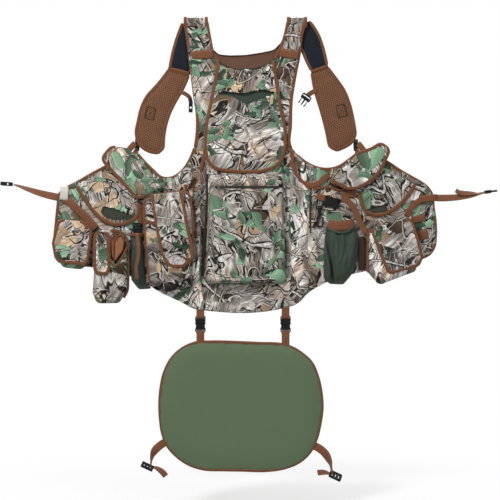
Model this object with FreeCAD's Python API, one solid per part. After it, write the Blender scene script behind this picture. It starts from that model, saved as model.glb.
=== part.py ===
import FreeCAD, Part
import math
import os

# Hunting vest with fold-down seat, laid open: back in the middle, the two hip wings spread
# to the sides, shoulder straps hanging behind, seat cushion hanging from the hem.
# Millimetres. X across the back, Z up, outer side of the cloth towards -Y, wearer towards +Y.
# "Left" is towards -X. Every y pair runs from the outer side to the inner side.
# Origin: centre of the back at belt height, on the inner face of the lining.

Vector = FreeCAD.Vector

# ---------------------------------------------------------------- driving dimensions
CHORD = 13.0               # longest chord used for curved sewing-pattern edges
GAP = 0.2                  # play between sewn neighbours
LINING_Y = (-1.5, 0.0)
SHELL_Y = (-4.0, LINING_Y[0] - GAP)    # outer cloth
BINDING_Y = (-4.9, 0.5)    # folded binding tape around the raw edges
BINDING_W = 4.0            # visible width of the binding tape
SEAM_X = 130.8             # distance of the side seams from the centre
YOKE_Z = 305.0             # lower edge of the yoke

WEB_T = 1.6                # webbing thickness
WEB_Y = (-4.3 - WEB_T, -4.3)           # webbing lying on the outer cloth
BACK_BAR_Y = (-5.1 - WEB_T, -5.1)
HANG_LOOP_Y = (GAP, GAP + WEB_T)
LINK_Y = (0.6, 0.6 + WEB_T)            # links on the inner side of the wings
BELT_Y = (-3.6, -3.6 + WEB_T)
BELT_MID_Y = sum(BELT_Y) / 2

POUCH_LINING_Y = (-6.4, -5.0)
POUCH_CLOTH_Y = (-8.6, POUCH_LINING_Y[0] - GAP)
POUCH_TAPE_Y = (-9.2, -5.0)

POCKET_Y = SHELL_Y[0] - GAP            # back of everything sewn on the outer cloth
GAME_DEPTH = 30.0          # bellows depth of the game pocket
GAME_FRONT = 3.0
GAME_FRONT_Y = POCKET_Y - GAME_DEPTH - GAME_FRONT
UPPER_DEPTH = 20.0
SQUARE_DEPTH = 28.0
TALL_DEPTH = 31.0
CALL_DEPTH = 33.0
BOTTLE_DEPTH = 36.0
MESH_DEPTH = 4.5
POCKET_BEVEL = 5.0
CALL_BEVEL = 4.0
FLAP_T = 3.4
FLAP_GAP = 0.5

STRAP_LINER_Y = (3.0, 8.0)             # outer side first
STRAP_PAD_Y = (3.0, 16.0)
STERNUM_WEB_Y = (STRAP_PAD_Y[1] + 0.4, STRAP_PAD_Y[1] + 0.4 + WEB_T)

SEAT_MID_Y = -2.0
SEAT_HALF = 11.0           # half thickness of the cushion
SEAT_SKIN = 1.2
SEAT_BEVEL = 9.0

# Side-release buckle for 20 mm webbing; v runs along it from where the halves meet.
BUCKLE_W = 26.0
BUCKLE_T = 9.0
MALE_L = 14.0
FEMALE_L = 27.75
BAR = 1.75                 # half width of the bar that the webbing wraps
MALE_BAR_V = BAR - MALE_L
FEMALE_BAR_V = FEMALE_L - BAR
BAR_HALF_T = 1.6           # half thickness of the bar
SLOT_HALF = 10.4           # half width of the webbing slot
THROUGH = 9                # half thickness of cuts that pass right through a fitting

DOWN = (0, 0, -1)
ACROSS = (0, 1, 0)         # width direction of a fitting standing on edge

# ---------------------------------------------------------------- sewing pattern
# Each piece is a closed outline of (x, z) points. A third value makes a corner with that
# radius; a point without one lies on a smooth curve.
PATTERN = {
    "back_panel": [
        (-129.25, -280, 0), (-129.25, 125, 0), (-124.25, 165), (-124.25, 205), (-131.25, 255),
        (-137.5, 305), (-146.25, 380), (-155, 441.5, 2.5), (-95, 441.5, 2.5), (-87.5, 397.5),
        (-78.75, 360), (-62.5, 335), (-32.5, 321.25), (0, 320), (32.5, 323.75), (60, 336.25), (80, 365),
        (92.5, 397.5), (102.5, 443.5, 2.5), (152.5, 443.5, 2.5), (140, 397.5), (135, 355), (125, 302.5),
        (115.75, 242.5), (113.75, 180), (113.75, 125), (129.25, 106.25, 0), (129.25, -266.25, 0),
        (85, -280), (30, -288.25), (-15, -290), (-77.5, -286.25),
    ],
    "back_lining": [
        (-127.5, -275, 0), (-127.5, 117.5, 0), (-120, 165), (-120, 205), (-126.25, 255), (-132.5, 305),
        (-141.25, 380), (-148.75, 435, 2.5), (-101.25, 435, 2.5), (-91.25, 392.5), (-82.5, 367.5),
        (-67.5, 356.25), (-40, 353.75), (0, 355), (40, 361.25), (70, 367.5), (86.25, 385), (97.5, 405),
        (107.5, 435, 2.5), (146.25, 435, 2.5), (135, 397.5), (130, 355), (120, 302.5), (110, 242.5),
        (108.75, 180), (108.75, 125), (127.5, 100, 0), (127.5, -260, 0), (85, -272.5), (30, -281.25),
        (-15, -283.25), (-77.5, -280),
    ],
    "upper_pouch": [
        (-71.25, 331.25, 5), (-78.75, 292.5), (-86.25, 250), (-95, 210), (-101.75, 172.5),
        (-104.25, 137.5), (-102.5, 110), (-93.75, 85), (-75, 68.75), (-40, 62.5), (0, 59.25), (40, 62.5),
        (70, 71.25), (90, 90), (98.75, 117.5), (100.75, 152.5), (96.25, 187.5), (87.5, 227.5),
        (81.25, 267.5), (75, 302.5), (66.25, 332.5, 5), (40, 320), (0, 315.5), (-42.5, 320),
    ],
    "pouch_lip": [
        (-115, 250, 0), (-82.5, 252, 0), (-57.5, 248.75), (-25, 243.75), (-1.25, 227.5), (25, 240),
        (55, 251.25), (85, 253.75, 0), (115, 252.5, 0), (115, 42.5, 0), (-115, 42.5, 0),
    ],
    "pouch_band": [
        (-115, 342.5, 0), (115, 342.5, 0), (115, 260, 0), (82.5, 258.5, 0), (60, 266), (27.5, 267),
        (-5, 256), (-27.5, 260.5), (-60, 266), (-85, 261.5, 0), (-115, 261.5, 0),
    ],
    "game_pocket": [
        (-91.25, 56, 5), (93.75, 56, 5), (96.25, -82.5), (101.25, -217.5, 17.5), (-103.75, -215, 17.5),
        (-93.75, -82.5),
    ],
    "left_wing": [
        (-130.75, -279.25, 0), (-130.75, 122.5, 0), (-143.75, 91.25), (-162.5, 65), (-185, 50.5),
        (-210, 50.5), (-230, 67.5), (-255, 92.5), (-268.75, 108.75, 5), (-287.5, 111.25, 7.5), (-320, 95),
        (-352.5, 77.5), (-390, 57.5), (-417.5, 41.25), (-447.5, 26.25, 15), (-468.75, 10, 20),
        (-472.5, -25), (-476.25, -62.5), (-480, -102.5), (-478.75, -132.5), (-472.5, -162.5, 20),
        (-427.5, -172.5), (-377.5, -176.25), (-332.5, -185), (-290, -197.5), (-247.5, -217.5),
        (-215, -237.5), (-170, -258.75),
    ],
    "left_upper_flap": [
        (-335, 126.25, 20), (-292.5, 120, 7.5), (-206.25, 23.75, 7.5), (-267.5, -8.75, 20),
        (-362.5, 93.75, 20),
    ],
    "left_upper_pocket": [
        (-312.5, 92.5, 10), (-282.5, 97.5, 7.5), (-222.5, 28.75, 7.5), (-266.25, 8.75, 15),
        (-338.75, 75, 15),
    ],
    "left_mesh_pocket": [
        (-423.75, 25, 5), (-395, 45), (-367.5, 50), (-345, 42.5), (-320, 21.25), (-290, -6.25),
        (-263.75, -25, 7.5), (-268.75, -47.5), (-292.5, -65), (-322.5, -71.25), (-352.5, -62.5),
        (-377.5, -41.25), (-402.5, -8.75),
    ],
    "left_mesh_window": [
        (-353.75, -23.75, 5), (-322.5, -30.75), (-291.25, -42.5, 5), (-301.25, -54), (-332.5, -57.25),
        (-355, -47.5), (-361.25, -33.75),
    ],
    "left_tall_pocket": [
        (-252.5, 1.25, 22.5), (-141.25, 16.25, 22.5), (-132.5, -45), (-132.5, -132.5), (-133, -222.5, 20),
        (-200, -238.75, 25), (-241.25, -211.25, 15), (-248.75, -132.5), (-253, -57.5),
    ],
    "left_tall_flap": [
        (-233.75, 5, 5), (-158.75, 12.5, 5), (-150, -37.5), (-141.25, -87.5), (-131, -132.5),
        (-131.5, -155, 17.5), (-155, -173.75, 20), (-187.5, -175, 22.5), (-203.75, -152.5), (-215, -112.5),
        (-226.25, -52.5),
    ],
    "left_square_pocket": [
        (-462.5, -68.75, 15), (-392.5, -77.5, 15), (-393.75, -137.5), (-397.5, -165, 12.5),
        (-407.5, -181.25, 15), (-457.5, -176.25, 20), (-473.75, -150, 12.5), (-472.5, -102.5),
    ],
    "left_square_flap": [
        (-465, -56.25, 20), (-400, -61.25, 22.5), (-381.75, -85, 15), (-386.75, -132.5),
        (-393.75, -171.25, 15), (-471.25, -160, 20), (-479.25, -115, 12.5),
    ],
    "call_pocket": [
        (-375, -82.5, 20), (-317.5, -81.25, 27.5), (-292.5, -115, 20), (-292.5, -225, 12.5),
        (-316.25, -265, 12.5), (-372.5, -266.25, 15), (-383, -237.5, 10), (-377.5, -162.5),
    ],
    "call_mouth": [
        (-334.5, -98.75, 5), (-315, -91.25, 7.5), (-299, -110, 7.5), (-300.5, -135), (-322.5, -167.5, 5),
        (-334.5, -157.5, 5),
    ],
    "call_flap": [
        (-376.25, -87, 17.5), (-337.5, -88.25, 12.5), (-337.5, -193.75, 17.5), (-376.25, -191.25, 17.5),
    ],
    "left_bottle_pouch": [
        (-289, -93.75, 7.5), (-257, -93.75, 7.5), (-252, -162.5), (-247.75, -216.25, 5),
        (-232.5, -228.75, 7.5), (-267.5, -231.25, 12.5), (-286.25, -207.5, 10), (-289, -157.5),
    ],
    "left_storage_tail": [
        (-273.75, -97.5, 2.5), (-261.25, -97.5, 2.5), (-257.5, -137.5), (-261.75, -177.5),
        (-264.5, -211.25, 3.75), (-274, -208.75, 3.75), (-272, -162.5), (-270, -132.5),
    ],
    "left_diag_web": [
        (-463.75, 6.25, 0), (-445, -2.5), (-427.5, -8.75), (-395, -35), (-366.75, -73.25, 2.5),
        (-377, -85, 2.5), (-410, -56.25), (-440, -32.5), (-450, -21.25), (-463.75, -15, 0),
    ],
    "left_link_web": [
        (-285, 96.25, 1.25), (-268.5, 96.25, 1.25), (-266.5, 121.25, 1.25), (-279.25, 121.25, 1.25),
    ],
    "left_link_tail": [
        (-304, 111.25, 1.25), (-283.5, 136.25, 1.25), (-281, 123.75, 1.25), (-287.5, 111.25, 1.25),
    ],
    "left_belt_strap": [
        (-476, 7.25, 1.25), (-502.5, 15.5), (-527.5, 22.5), (-555, 25), (-564.5, 27, 0.75),
        (-565, 24.5, 0.75), (-558.75, 20), (-532.5, 6.25), (-502.5, -2.5), (-476, -9, 1.25),
    ],
    "right_wing": [
        (130.75, -265, 0), (130.75, 104.5, 0), (150, 88.75), (175, 76.25), (202.5, 71.75), (230, 77.5),
        (255, 93.75), (277.5, 111.25, 5), (300, 112.5, 7.5), (325, 103.75), (352.5, 90), (385, 68.75),
        (415, 51.25), (437.5, 38.75), (456.25, 23.75), (466.25, 7.5), (470, -25), (475, -62.5),
        (475.75, -97.5), (471.25, -127.5), (460, -143.75), (437.5, -155), (397.5, -165), (347.5, -175),
        (300, -185), (247.5, -197.5), (192.5, -217.5), (160, -236.25),
    ],
    "right_upper_flap": [
        (311.25, 121.25, 7.5), (335, 136.25, 20), (360, 116.25, 17.5), (347.5, 90), (332.5, 61.25),
        (307.5, 36.25), (277.5, 21.25), (251.25, 17.5, 10), (210, 38.75, 7.5), (245, 75),
        (278.75, 110, 7.5),
    ],
    "right_upper_pocket": [
        (312.5, 98.75, 10), (332.5, 86.25, 10), (321.25, 65), (297.5, 43.75), (272.5, 31.25, 7.5),
        (252.5, 28.75, 7.5), (227.5, 41.25, 7.5), (280, 95, 7.5),
    ],
    "right_mesh_pocket": [
        (422.5, 28.75, 5), (395, 45), (365, 58.75), (337.5, 55), (302.5, 26.25), (281.25, 10, 7.5),
        (286.25, -15), (296.25, -36.25, 7.5), (310, -44.5), (332.5, -47.5), (357.5, -39.5), (382.5, -22.5),
        (405, 2.5),
    ],
    "right_mesh_window": [
        (296.5, -33, 3.75), (315, -26.5), (346.25, -18.25, 5), (355, -35, 5), (327.5, -41),
    ],
    "right_square_pocket": [
        (302.5, -88.75, 7.5), (405, -63.75, 12.5), (420, -107.5), (431.25, -162.5, 12.5),
        (422.5, -186.25, 10), (365, -207.5, 15), (332.5, -221.25, 17.5), (302.5, -186.25, 7.5),
    ],
    "right_square_flap": [
        (308.75, -80, 10), (407.5, -51.25, 15), (422.5, -92.5), (437.5, -150, 7.5),
        (428.75, -171.25, 12.5), (352.5, -192.5, 15), (330, -137.5),
    ],
    "right_bottle_pouch": [
        (198.75, -70, 7.5), (262.5, -63.75, 10), (278.75, -90), (281.25, -132.5), (267.5, -187.5),
        (242.5, -218.75, 7.5), (210, -217.5, 10), (192.5, -205, 7.5), (193.75, -132.5),
    ],
    "right_diag_web": [
        (236.25, 7.5, 2.5), (255, 15, 2.5), (272.5, 13.75, 2.5), (272.5, -5), (286.25, -33.75),
        (298.75, -61.25), (305, -74.5, 2.5), (291.5, -84, 2.5), (275.75, -56.25), (258.75, -28.75),
        (238.75, -12.5, 2.5),
    ],
    "right_armhole_web": [
        (138.75, 46.25, 2.5), (155, 37.5), (176.25, 36.25), (190, 55), (203.75, 60, 2.5), (210, 47.5, 2.5),
        (192.5, 28.75), (165, 18.75), (146.25, 26.25, 2.5),
    ],
    "right_anchor_web": [
        (175, 10, 1.25), (188, 15, 1.25), (193.5, -1.25, 1.25), (181, -6.25, 1.25),
    ],
    "right_link_web": [
        (276.5, 96.25, 1.25), (292.5, 96.25, 1.25), (282, 121.25, 1.25), (269.75, 121.25, 1.25),
    ],
    "right_link_tail": [
        (284, 136.25, 1.25), (301.5, 115, 1.25), (288.5, 112.5, 1.25), (282.5, 123.75, 1.25),
    ],
    "right_belt_strap": [
        (478.5, 7, 1.25), (510, 6.5), (542.5, 9), (572.5, 7), (590, 9, 0.75), (590.5, 5, 0.75), (580, 0),
        (547.5, -5), (510, -8.25), (478.5, -10, 1.25),
    ],
    "right_belt_root": [
        (436.25, 1.25, 1.25), (473.5, 6.75, 1.25), (473.5, -10, 1.25), (436.25, -15, 1.25),
    ],
    "seat": [
        (-125, -360.5), (-160, -375), (-188.75, -401.25), (-207.5, -437.5), (-216.25, -477.5),
        (-219.25, -517.5), (-217.5, -557.5), (-211.25, -595), (-200, -622.5), (-177.5, -648.75),
        (-145, -671.25), (-107.5, -683.25), (-60, -685.5), (-15, -686.25), (55, -687), (95, -681.25),
        (135, -665), (162.5, -640), (178.75, -607.5), (188.75, -567.5), (194, -527.5), (191.25, -487.5),
        (182.5, -447.5), (166.25, -411.25), (142.5, -388.75), (112.5, -371.25), (90, -365), (35, -362.25),
        (-15, -360), (-90, -358.5),
    ],
    "left_strap_upper": [
        (-161.25, 435, 2.5), (-106.25, 435, 2.5), (-115, 380), (-138.75, 310.5, 2.5),
        (-192.5, 324.25, 2.5), (-185, 362.5), (-172.5, 405),
    ],
    "left_strap_pad": [
        (-193.75, 321.25, 5), (-141.75, 306.25, 5), (-157.5, 270), (-175, 240), (-188.75, 212.5),
        (-198.75, 182.5), (-204.5, 150), (-205.5, 122.5, 12.5), (-220, 108.75, 12.5), (-245, 113.75),
        (-270, 131.25, 15), (-277, 162.5), (-272.5, 187.5), (-262.5, 227.5), (-247.5, 256.25),
        (-232.5, 272.5), (-215, 292.5),
    ],
    "left_sternum_web": [
        (-163.75, 266.25, 1.25), (-150, 263.75), (-136.25, 256.25, 1.25), (-140.5, 247, 1.25),
        (-152.5, 254.25), (-166.5, 257, 1.25),
    ],
    "right_strap_upper": [
        (108.75, 435, 2.5), (161.25, 440, 7.5), (181.25, 410), (195, 372.5), (204.5, 331, 2.5),
        (162.5, 316, 2.5), (151.25, 337.5), (140.75, 362.5), (125, 392.5),
    ],
    "right_strap_pad": [
        (163.25, 312, 5), (204.5, 327, 5), (225, 300), (247.5, 267.5), (261.25, 232.5), (270, 195),
        (275.75, 160, 10), (268.75, 140), (245, 122.5, 12.5), (227.5, 115, 12.5), (207.5, 126.25, 12.5),
        (198.75, 170), (186.25, 217.5), (171.25, 267.5),
    ],
    "right_sternum_web": [
        (163.5, 261, 1.25), (173, 264.5, 1.25), (178.75, 254, 1.25), (169, 249, 1.25),
    ],
    "left_corner_web": [
        (-207, -629, 1.25), (-216, -608.5, 1.25), (-226, -617.5), (-233, -631.25), (-237, -647.5),
        (-240, -660.5, 0.75), (-235.5, -661.5, 0.75), (-231, -646), (-220, -636.5),
    ],
    "left_corner_tail": [
        (-223.5, -675.5, 0.75), (-200, -683.5, 1.25), (-201, -699, 1.25), (-213.5, -688.5),
        (-224, -683, 0.75),
    ],
    "right_corner_web": [
        (180.5, -618, 1.25), (173, -636, 1.25), (190, -642.5), (201.5, -656), (207.5, -672.5),
        (210.5, -681.5, 0.75), (214, -681, 0.75), (211.5, -665), (205, -643.5), (196, -629),
    ],
    "right_corner_tail": [
        (203.5, -686, 0.75), (180.5, -680.5, 1.25), (180.5, -697, 1.25), (202.5, -693.5, 0.75),
    ],
}

# Bound edges, as (first, last) positions along an outline: 2.5 is halfway from point 2 to 3.
LEFT_ARMHOLE = (1, 6.999)
NECK = (8.001, 17.999)
RIGHT_ARMHOLE = (19.001, 25)
BACK_RUNS = [LEFT_ARMHOLE, NECK, RIGHT_ARMHOLE]
# on the wings: from the top of the side seam round the outer end to the lower edge
WING_RUNS = {"left": [(1, 21)], "right": [(1, 24)]}


# ---------------------------------------------------------------- outlines
def distance(a, b):
    return math.hypot(b[0] - a[0], b[1] - a[1])


def tangent(points, i):
    """Unit tangent of the smooth curve through point i."""
    before, here, after = (points[(i + k) % len(points)] for k in (-1, 0, 1))
    a, b = distance(before, here), distance(here, after)
    tx, tz = ((here[k] - before[k]) / a * b + (after[k] - here[k]) / b * a for k in (0, 1))
    length = math.hypot(tx, tz)
    return tx / length, tz / length


def outline(name):
    """The pattern piece as a closed polygon of short chords: (x, z, position) vertices."""
    points = PATTERN[name]
    count = len(points)
    chords = []
    for i in range(count):
        p, q = points[i], points[(i + 1) % count]
        p_corner, q_corner = len(p) == 3, len(q) == 3
        chords.append((p[0], p[1], i, p[2] if p_corner else None))
        if p_corner and q_corner:
            continue
        dx, dz = q[0] - p[0], q[1] - p[1]
        length = math.hypot(dx, dz)
        if not p_corner:
            m0 = tuple(length * c for c in tangent(points, i))
        if not q_corner:
            m1 = tuple(length * c for c in tangent(points, (i + 1) % count))
        if p_corner:
            m0 = ((3 * dx - m1[0]) / 2, (3 * dz - m1[1]) / 2)
        if q_corner:
            m1 = ((3 * dx - m0[0]) / 2, (3 * dz - m0[1]) / 2)
        pieces = max(1, int(math.ceil(length / CHORD)))
        for s in range(1, pieces):
            t = s / pieces
            h = (2 * t**3 - 3 * t**2 + 1, t**3 - 2 * t**2 + t, -2 * t**3 + 3 * t**2, t**3 - t**2)
            x, z = (h[0] * p[k] + h[1] * m0[k] + h[2] * q[k] + h[3] * m1[k] for k in (0, 1))
            chords.append((x, z, i + t, None))
    return round_corners(chords)


def round_corners(points):
    """Replace each corner of (x, z, position, radius) points by a short parabolic arc."""
    count = len(points)

    def walk(i, way, length):
        """The point at a length along the polygon from vertex i, and the vertices passed."""
        k, left = 0, length
        while True:
            a, b = points[(i + way * k) % count], points[(i + way * (k + 1)) % count]
            d = distance(a, b)
            if left < d or k > count:
                t = left / d
                # past the end of the outline the position goes on counting
                b_position = b[2] if abs(b[2] - a[2]) < 2 else a[2] + way
                return (a[0] + (b[0] - a[0]) * t, a[1] + (b[1] - a[1]) * t,
                        a[2] + (b_position - a[2]) * t), k
            left -= d
            k += 1

    def run_length(i, way):
        """Length along the polygon to the next corner."""
        total, k = 0.0, 0
        while True:
            a, b = points[(i + way * k) % count], points[(i + way * (k + 1)) % count]
            total += distance(a, b)
            k += 1
            if b[3] is not None or k > count:
                return total

    dropped, arcs = set(), {}
    for i, p in enumerate(points):
        if p[3] is None or p[3] <= 0.01:
            continue
        a, b = points[i - 1], points[(i + 1) % count]
        u = (p[0] - a[0], p[1] - a[1])
        v = (b[0] - p[0], b[1] - p[1])
        turn = abs(math.atan2(u[0] * v[1] - u[1] * v[0], u[0] * v[0] + u[1] * v[1]))
        reach = min(p[3] * math.tan(min(turn, 2.8) / 2),
                    0.46 * run_length(i, -1), 0.46 * run_length(i, 1))
        if reach < 0.3:
            continue
        (start, passed_back), (end, passed_on) = walk(i, -1, reach), walk(i, 1, reach)
        pieces = 2 if reach < 3 else 4 if reach < 12 else 6
        arc = []
        for s in range(pieces + 1):
            w = s / pieces
            x, z = ((1 - w)**2 * start[k] + 2 * w * (1 - w) * p[k] + w**2 * end[k]
                    for k in (0, 1))
            arc.append((x, z, p[2]))
        arcs[i] = arc
        dropped.update((i - k) % count for k in range(1, passed_back + 1))
        dropped.update((i + k) % count for k in range(1, passed_on + 1))
    rounded = []
    for i in range(count):
        if i in arcs:
            rounded += arcs[i]
        elif i not in dropped:
            rounded.append(points[i][:3])
    clean = []
    for p in rounded:
        if not clean or distance(clean[-1], p) > 0.25:
            clean.append(p)
    if distance(clean[-1], clean[0]) <= 0.25:
        clean.pop()
    return clean


def area(polygon):
    return sum(a[0] * b[1] - b[0] * a[1] for a, b in zip(polygon, polygon[1:] + polygon[:1])) / 2


def inset_with_owners(polygon, depth):
    """Polygon moved inwards by depth, a number or a function of the edge number.

    Also returns, for every old vertex, the number of the new vertex it maps to."""
    count = len(polygon)
    side = 1.0 if area(polygon) > 0 else -1.0
    depth_at = depth if callable(depth) else (lambda edge: depth)
    lines = []
    for i in range(count):
        a, b = polygon[i], polygon[(i + 1) % count]
        length = distance(a, b)
        dx, dz = (b[0] - a[0]) / length, (b[1] - a[1]) / length
        nx, nz = -dz * side, dx * side
        lines.append((a[0] + nx * depth_at(i), a[1] + nz * depth_at(i), dx, dz, nx, nz))

    def meet(i, j):
        ax, az, ux, uz, nx, nz = lines[i]
        bx, bz, vx, vz, mx, mz = lines[j]
        cross = ux * vz - uz * vx
        if abs(cross) < 0.03:
            # nearly parallel edges: move the shared vertex along the mean normal
            p = polygon[j]
            mean = (depth_at(i) + depth_at(j)) / 2
            kx, kz = nx + mx, nz + mz
            length = math.hypot(kx, kz)
            return p[0] + kx / length * mean, p[1] + kz / length * mean
        t = ((bx - ax) * vz - (bz - az) * vx) / cross
        return ax + ux * t, az + uz * t

    # drop the most reversed edge until every edge keeps its direction
    alive = list(range(count))
    while True:
        kept = len(alive)
        corners = [meet(alive[i - 1], alive[i]) for i in range(kept)]
        worst, reversed_edge = -1e-6, None
        for i in range(kept):
            a, b = corners[i], corners[(i + 1) % kept]
            ux, uz = lines[alive[i]][2:4]
            advance = (b[0] - a[0]) * ux + (b[1] - a[1]) * uz
            if advance < worst:
                worst, reversed_edge = advance, i
        if reversed_edge is None or kept <= 3:
            break
        alive.pop(reversed_edge)
    number = {edge: i for i, edge in enumerate(alive)}
    owners = []
    for edge in range(count):
        while edge % count not in number:
            edge += 1
        owners.append(number[edge % count])
    return corners, owners


def inset(polygon, depth):
    return inset_with_owners(polygon, depth)[0]


# ---------------------------------------------------------------- solids
def polygon_face(vectors):
    return Part.Face(Part.makePolygon(vectors + vectors[:1]))


def prism(polygon, y0, y1):
    base = polygon_face([Vector(p[0], min(y0, y1), p[1]) for p in polygon])
    return base.extrude(Vector(0, abs(y1 - y0), 0))


def plate(name, y):
    return prism(outline(name), *y)


def plates(names, y):
    return [plate(name, y) for name in names]


def box(x0, x1, y0, y1, z0, z1):
    return Part.makeBox(abs(x1 - x0), abs(y1 - y0), abs(z1 - z0),
                        Vector(min(x0, x1), min(y0, y1), min(z0, z1)))


def ring(polygon, width, y):
    inner = inset(polygon, width)
    return prism(polygon, *y).cut(prism(inner, y[0] - 1, y[1] + 1))


def strip(polygon, run, width, y):
    """Tape along the inside of an outline between two pattern positions."""
    edge = [p for p in polygon if run[0] <= p[2] <= run[1]]
    side = 1.0 if area(polygon) > 0 else -1.0
    inner = []
    for i, p in enumerate(edge):
        a, b = edge[max(0, i - 1)], edge[min(len(edge) - 1, i + 1)]
        length = distance(a, b)
        dx, dz = b[0] - a[0], b[1] - a[1]
        inner.append((p[0] - dz / length * side * width, p[1] + dx / length * side * width))
    return prism(edge + inner[::-1], *y)


def bound_cloth(name, runs):
    """A cloth outline drawn in by the tape's width on its bound runs."""
    polygon = outline(name)

    def depth(edge):
        taped = any(start <= polygon[edge][2] < end for start, end in runs)
        return BINDING_W + GAP if taped else 0.0

    return inset(polygon, depth)


def inside_binding(name):
    return inset(outline(name), BINDING_W + GAP)


def tape_room(name, runs, y=(-50, 50)):
    """The space kept clear for the tape round the bound runs of an outline."""
    return [strip(outline(name), run, BINDING_W + GAP, y) for run in runs]


def compound(shapes):
    return Part.makeCompound(shapes)


def cleared(shape, rooms):
    """A shape with the rooms cut out of it, without the crumbs this leaves."""
    for room in rooms:
        shape = shape.cut(room)
    solids = [s for s in shape.Solids if s.Volume > 20.0]
    return solids[0] if len(solids) == 1 else compound(solids)


def cleared_each(shapes, rooms):
    return [s for shape in shapes for s in cleared(shape, rooms).Solids]


def largest(shape):
    return max(shape.Solids, key=lambda s: s.Volume)


def pillow(polygon, y_base, y_edge, y_crown, bevel):
    """A padded form: flat base, straight sides to y_edge, then a bevelled crown to y_crown."""
    if area(polygon) < 0:
        polygon = polygon[::-1]
    crown, owners = inset_with_owners(polygon, bevel)
    base = [Vector(p[0], y_base, p[1]) for p in polygon]
    edge = [Vector(p[0], y_edge, p[1]) for p in polygon]
    top = [Vector(p[0], y_crown, p[1]) for p in crown]
    faces = [polygon_face(base), polygon_face(top)]
    for i in range(len(polygon)):
        j = (i + 1) % len(polygon)
        faces.append(polygon_face([base[i], base[j], edge[j], edge[i]]))
        a, b = owners[i], owners[j]
        faces.append(polygon_face([edge[i], edge[j], top[b]]))
        if a != b:
            faces.append(polygon_face([edge[i], top[b], top[a]]))
    solid = Part.Solid(Part.Shell(faces))
    if solid.Volume < 0:
        solid.reverse()
    # guards against a shell whose faces do not quite join
    if not solid.isValid():
        solid.fix(1e-4, 1e-4, 1e-4)
    return solid


# ---------------------------------------------------------------- local frame of the fittings
# u across a fitting, v along it, w through its thickness
def local_prism(points, w0, w1):
    """A (u, v) polygon drawn along w."""
    return polygon_face([Vector(u, v, w0) for u, v in points]).extrude(Vector(0, 0, w1 - w0))


def side_prism(points, half_width):
    """A (v, w) polygon drawn along u, to both sides of the middle."""
    base = polygon_face([Vector(-half_width, v, w) for v, w in points])
    return base.extrude(Vector(2 * half_width, 0, 0))


def both_faces(points, w):
    """Cutters for all that lies further out than w on the two faces of a fitting."""
    return [local_prism(points, s * w, s * THROUGH) for s in (1, -1)]


def rectangle(half_width, v0, v1):
    return [(-half_width, v0), (half_width, v0), (half_width, v1), (-half_width, v1)]


def mirror_u(points):
    return points + [(-u, v) for u, v in reversed(points)]


def placed(shape, at, v_dir, u_dir=None):
    """Local (u, v, w) to the vest's axes: w points outwards along -Y unless u_dir is given."""
    v = Vector(*v_dir).normalize()
    if u_dir is None:
        w = Vector(0, -1, 0)
        u = v.cross(w)
    else:
        u = Vector(*u_dir).normalize()
        w = u.cross(v)
    matrix = FreeCAD.Matrix(u.x, v.x, w.x, at[0], u.y, v.y, w.y, at[1],
                            u.z, v.z, w.z, at[2], 0, 0, 0, 1)
    moved = shape.copy()
    moved.transformShape(matrix)
    return moved


def angle_dir(degrees):
    """Direction in the XZ plane, clockwise from +X as seen from outside."""
    return (math.cos(math.radians(degrees)), 0.0, -math.sin(math.radians(degrees)))


def tilted(v_dir, degrees):
    """Width direction of a fitting turned about its own length from lying flat."""
    flat = Vector(*v_dir).normalize().cross(Vector(0, -1, 0))
    angle = math.radians(degrees)
    u = flat * math.cos(angle) + Vector(0, 1, 0) * math.sin(angle)
    return (u.x, u.y, u.z)


# ---------------------------------------------------------------- fittings
def female_half():
    h = BUCKLE_W / 2
    body = local_prism(mirror_u([(h - 1.2, 0.3), (h, 1.5), (h, 5.5), (h - 1.8, 8.0), (h - 1.8, 14.5),
                                 (h, 17.5), (h, 23.5), (h - 2.5, FEMALE_L)]),
                       -BUCKLE_T / 2, BUCKLE_T / 2)
    slot_v = 20.7
    cavity = local_prism(rectangle(10.2, -1, 17), -2.6, 2.6)
    side_windows = local_prism(rectangle(20, 7.6, 14.9), -2.6, 2.6)
    slot = local_prism(rectangle(SLOT_HALF, slot_v, FEMALE_BAR_V - BAR), -THROUGH, THROUGH)
    thin_bar = both_faces(rectangle(SLOT_HALF, slot_v, 40), BAR_HALF_T)
    grooves = both_faces([(-10.4, 5.0), (10.4, 5.0), (9.0, 6.4), (-9.0, 6.4)], 4.1)
    for cutter in [cavity, side_windows, slot] + thin_bar + grooves:
        body = body.cut(cutter)
    return body


def male_half():
    h = BUCKLE_W / 2
    body = local_prism(mirror_u([(h - 1.5, 0.0), (h, -2.0), (h, -11.0), (h - 2.0, -MALE_L)]), -4.0, 4.0)
    slot_v = -7.5
    slot = local_prism(rectangle(SLOT_HALF, MALE_BAR_V + BAR, slot_v), -THROUGH, THROUGH)
    for cutter in [slot] + both_faces(rectangle(SLOT_HALF, -40, slot_v), BAR_HALF_T):
        body = body.cut(cutter)
    guide = local_prism([(-2, -0.5), (2, -0.5), (1.4, 15.5), (-1.4, 15.5)], -2.3, 2.3)
    arm = [(9.4, -0.5), (9.4, 8.6), (9.9, 9.4), (9.9, 13.0), (7.6, 16.2), (6.0, 14.0), (7.4, 9.0),
           (7.4, -0.5)]
    arms = [local_prism([(s * u, v) for u, v in arm], -2.2, 2.2) for s in (1, -1)]
    return body.fuse([guide] + arms).removeSplitter()


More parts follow.
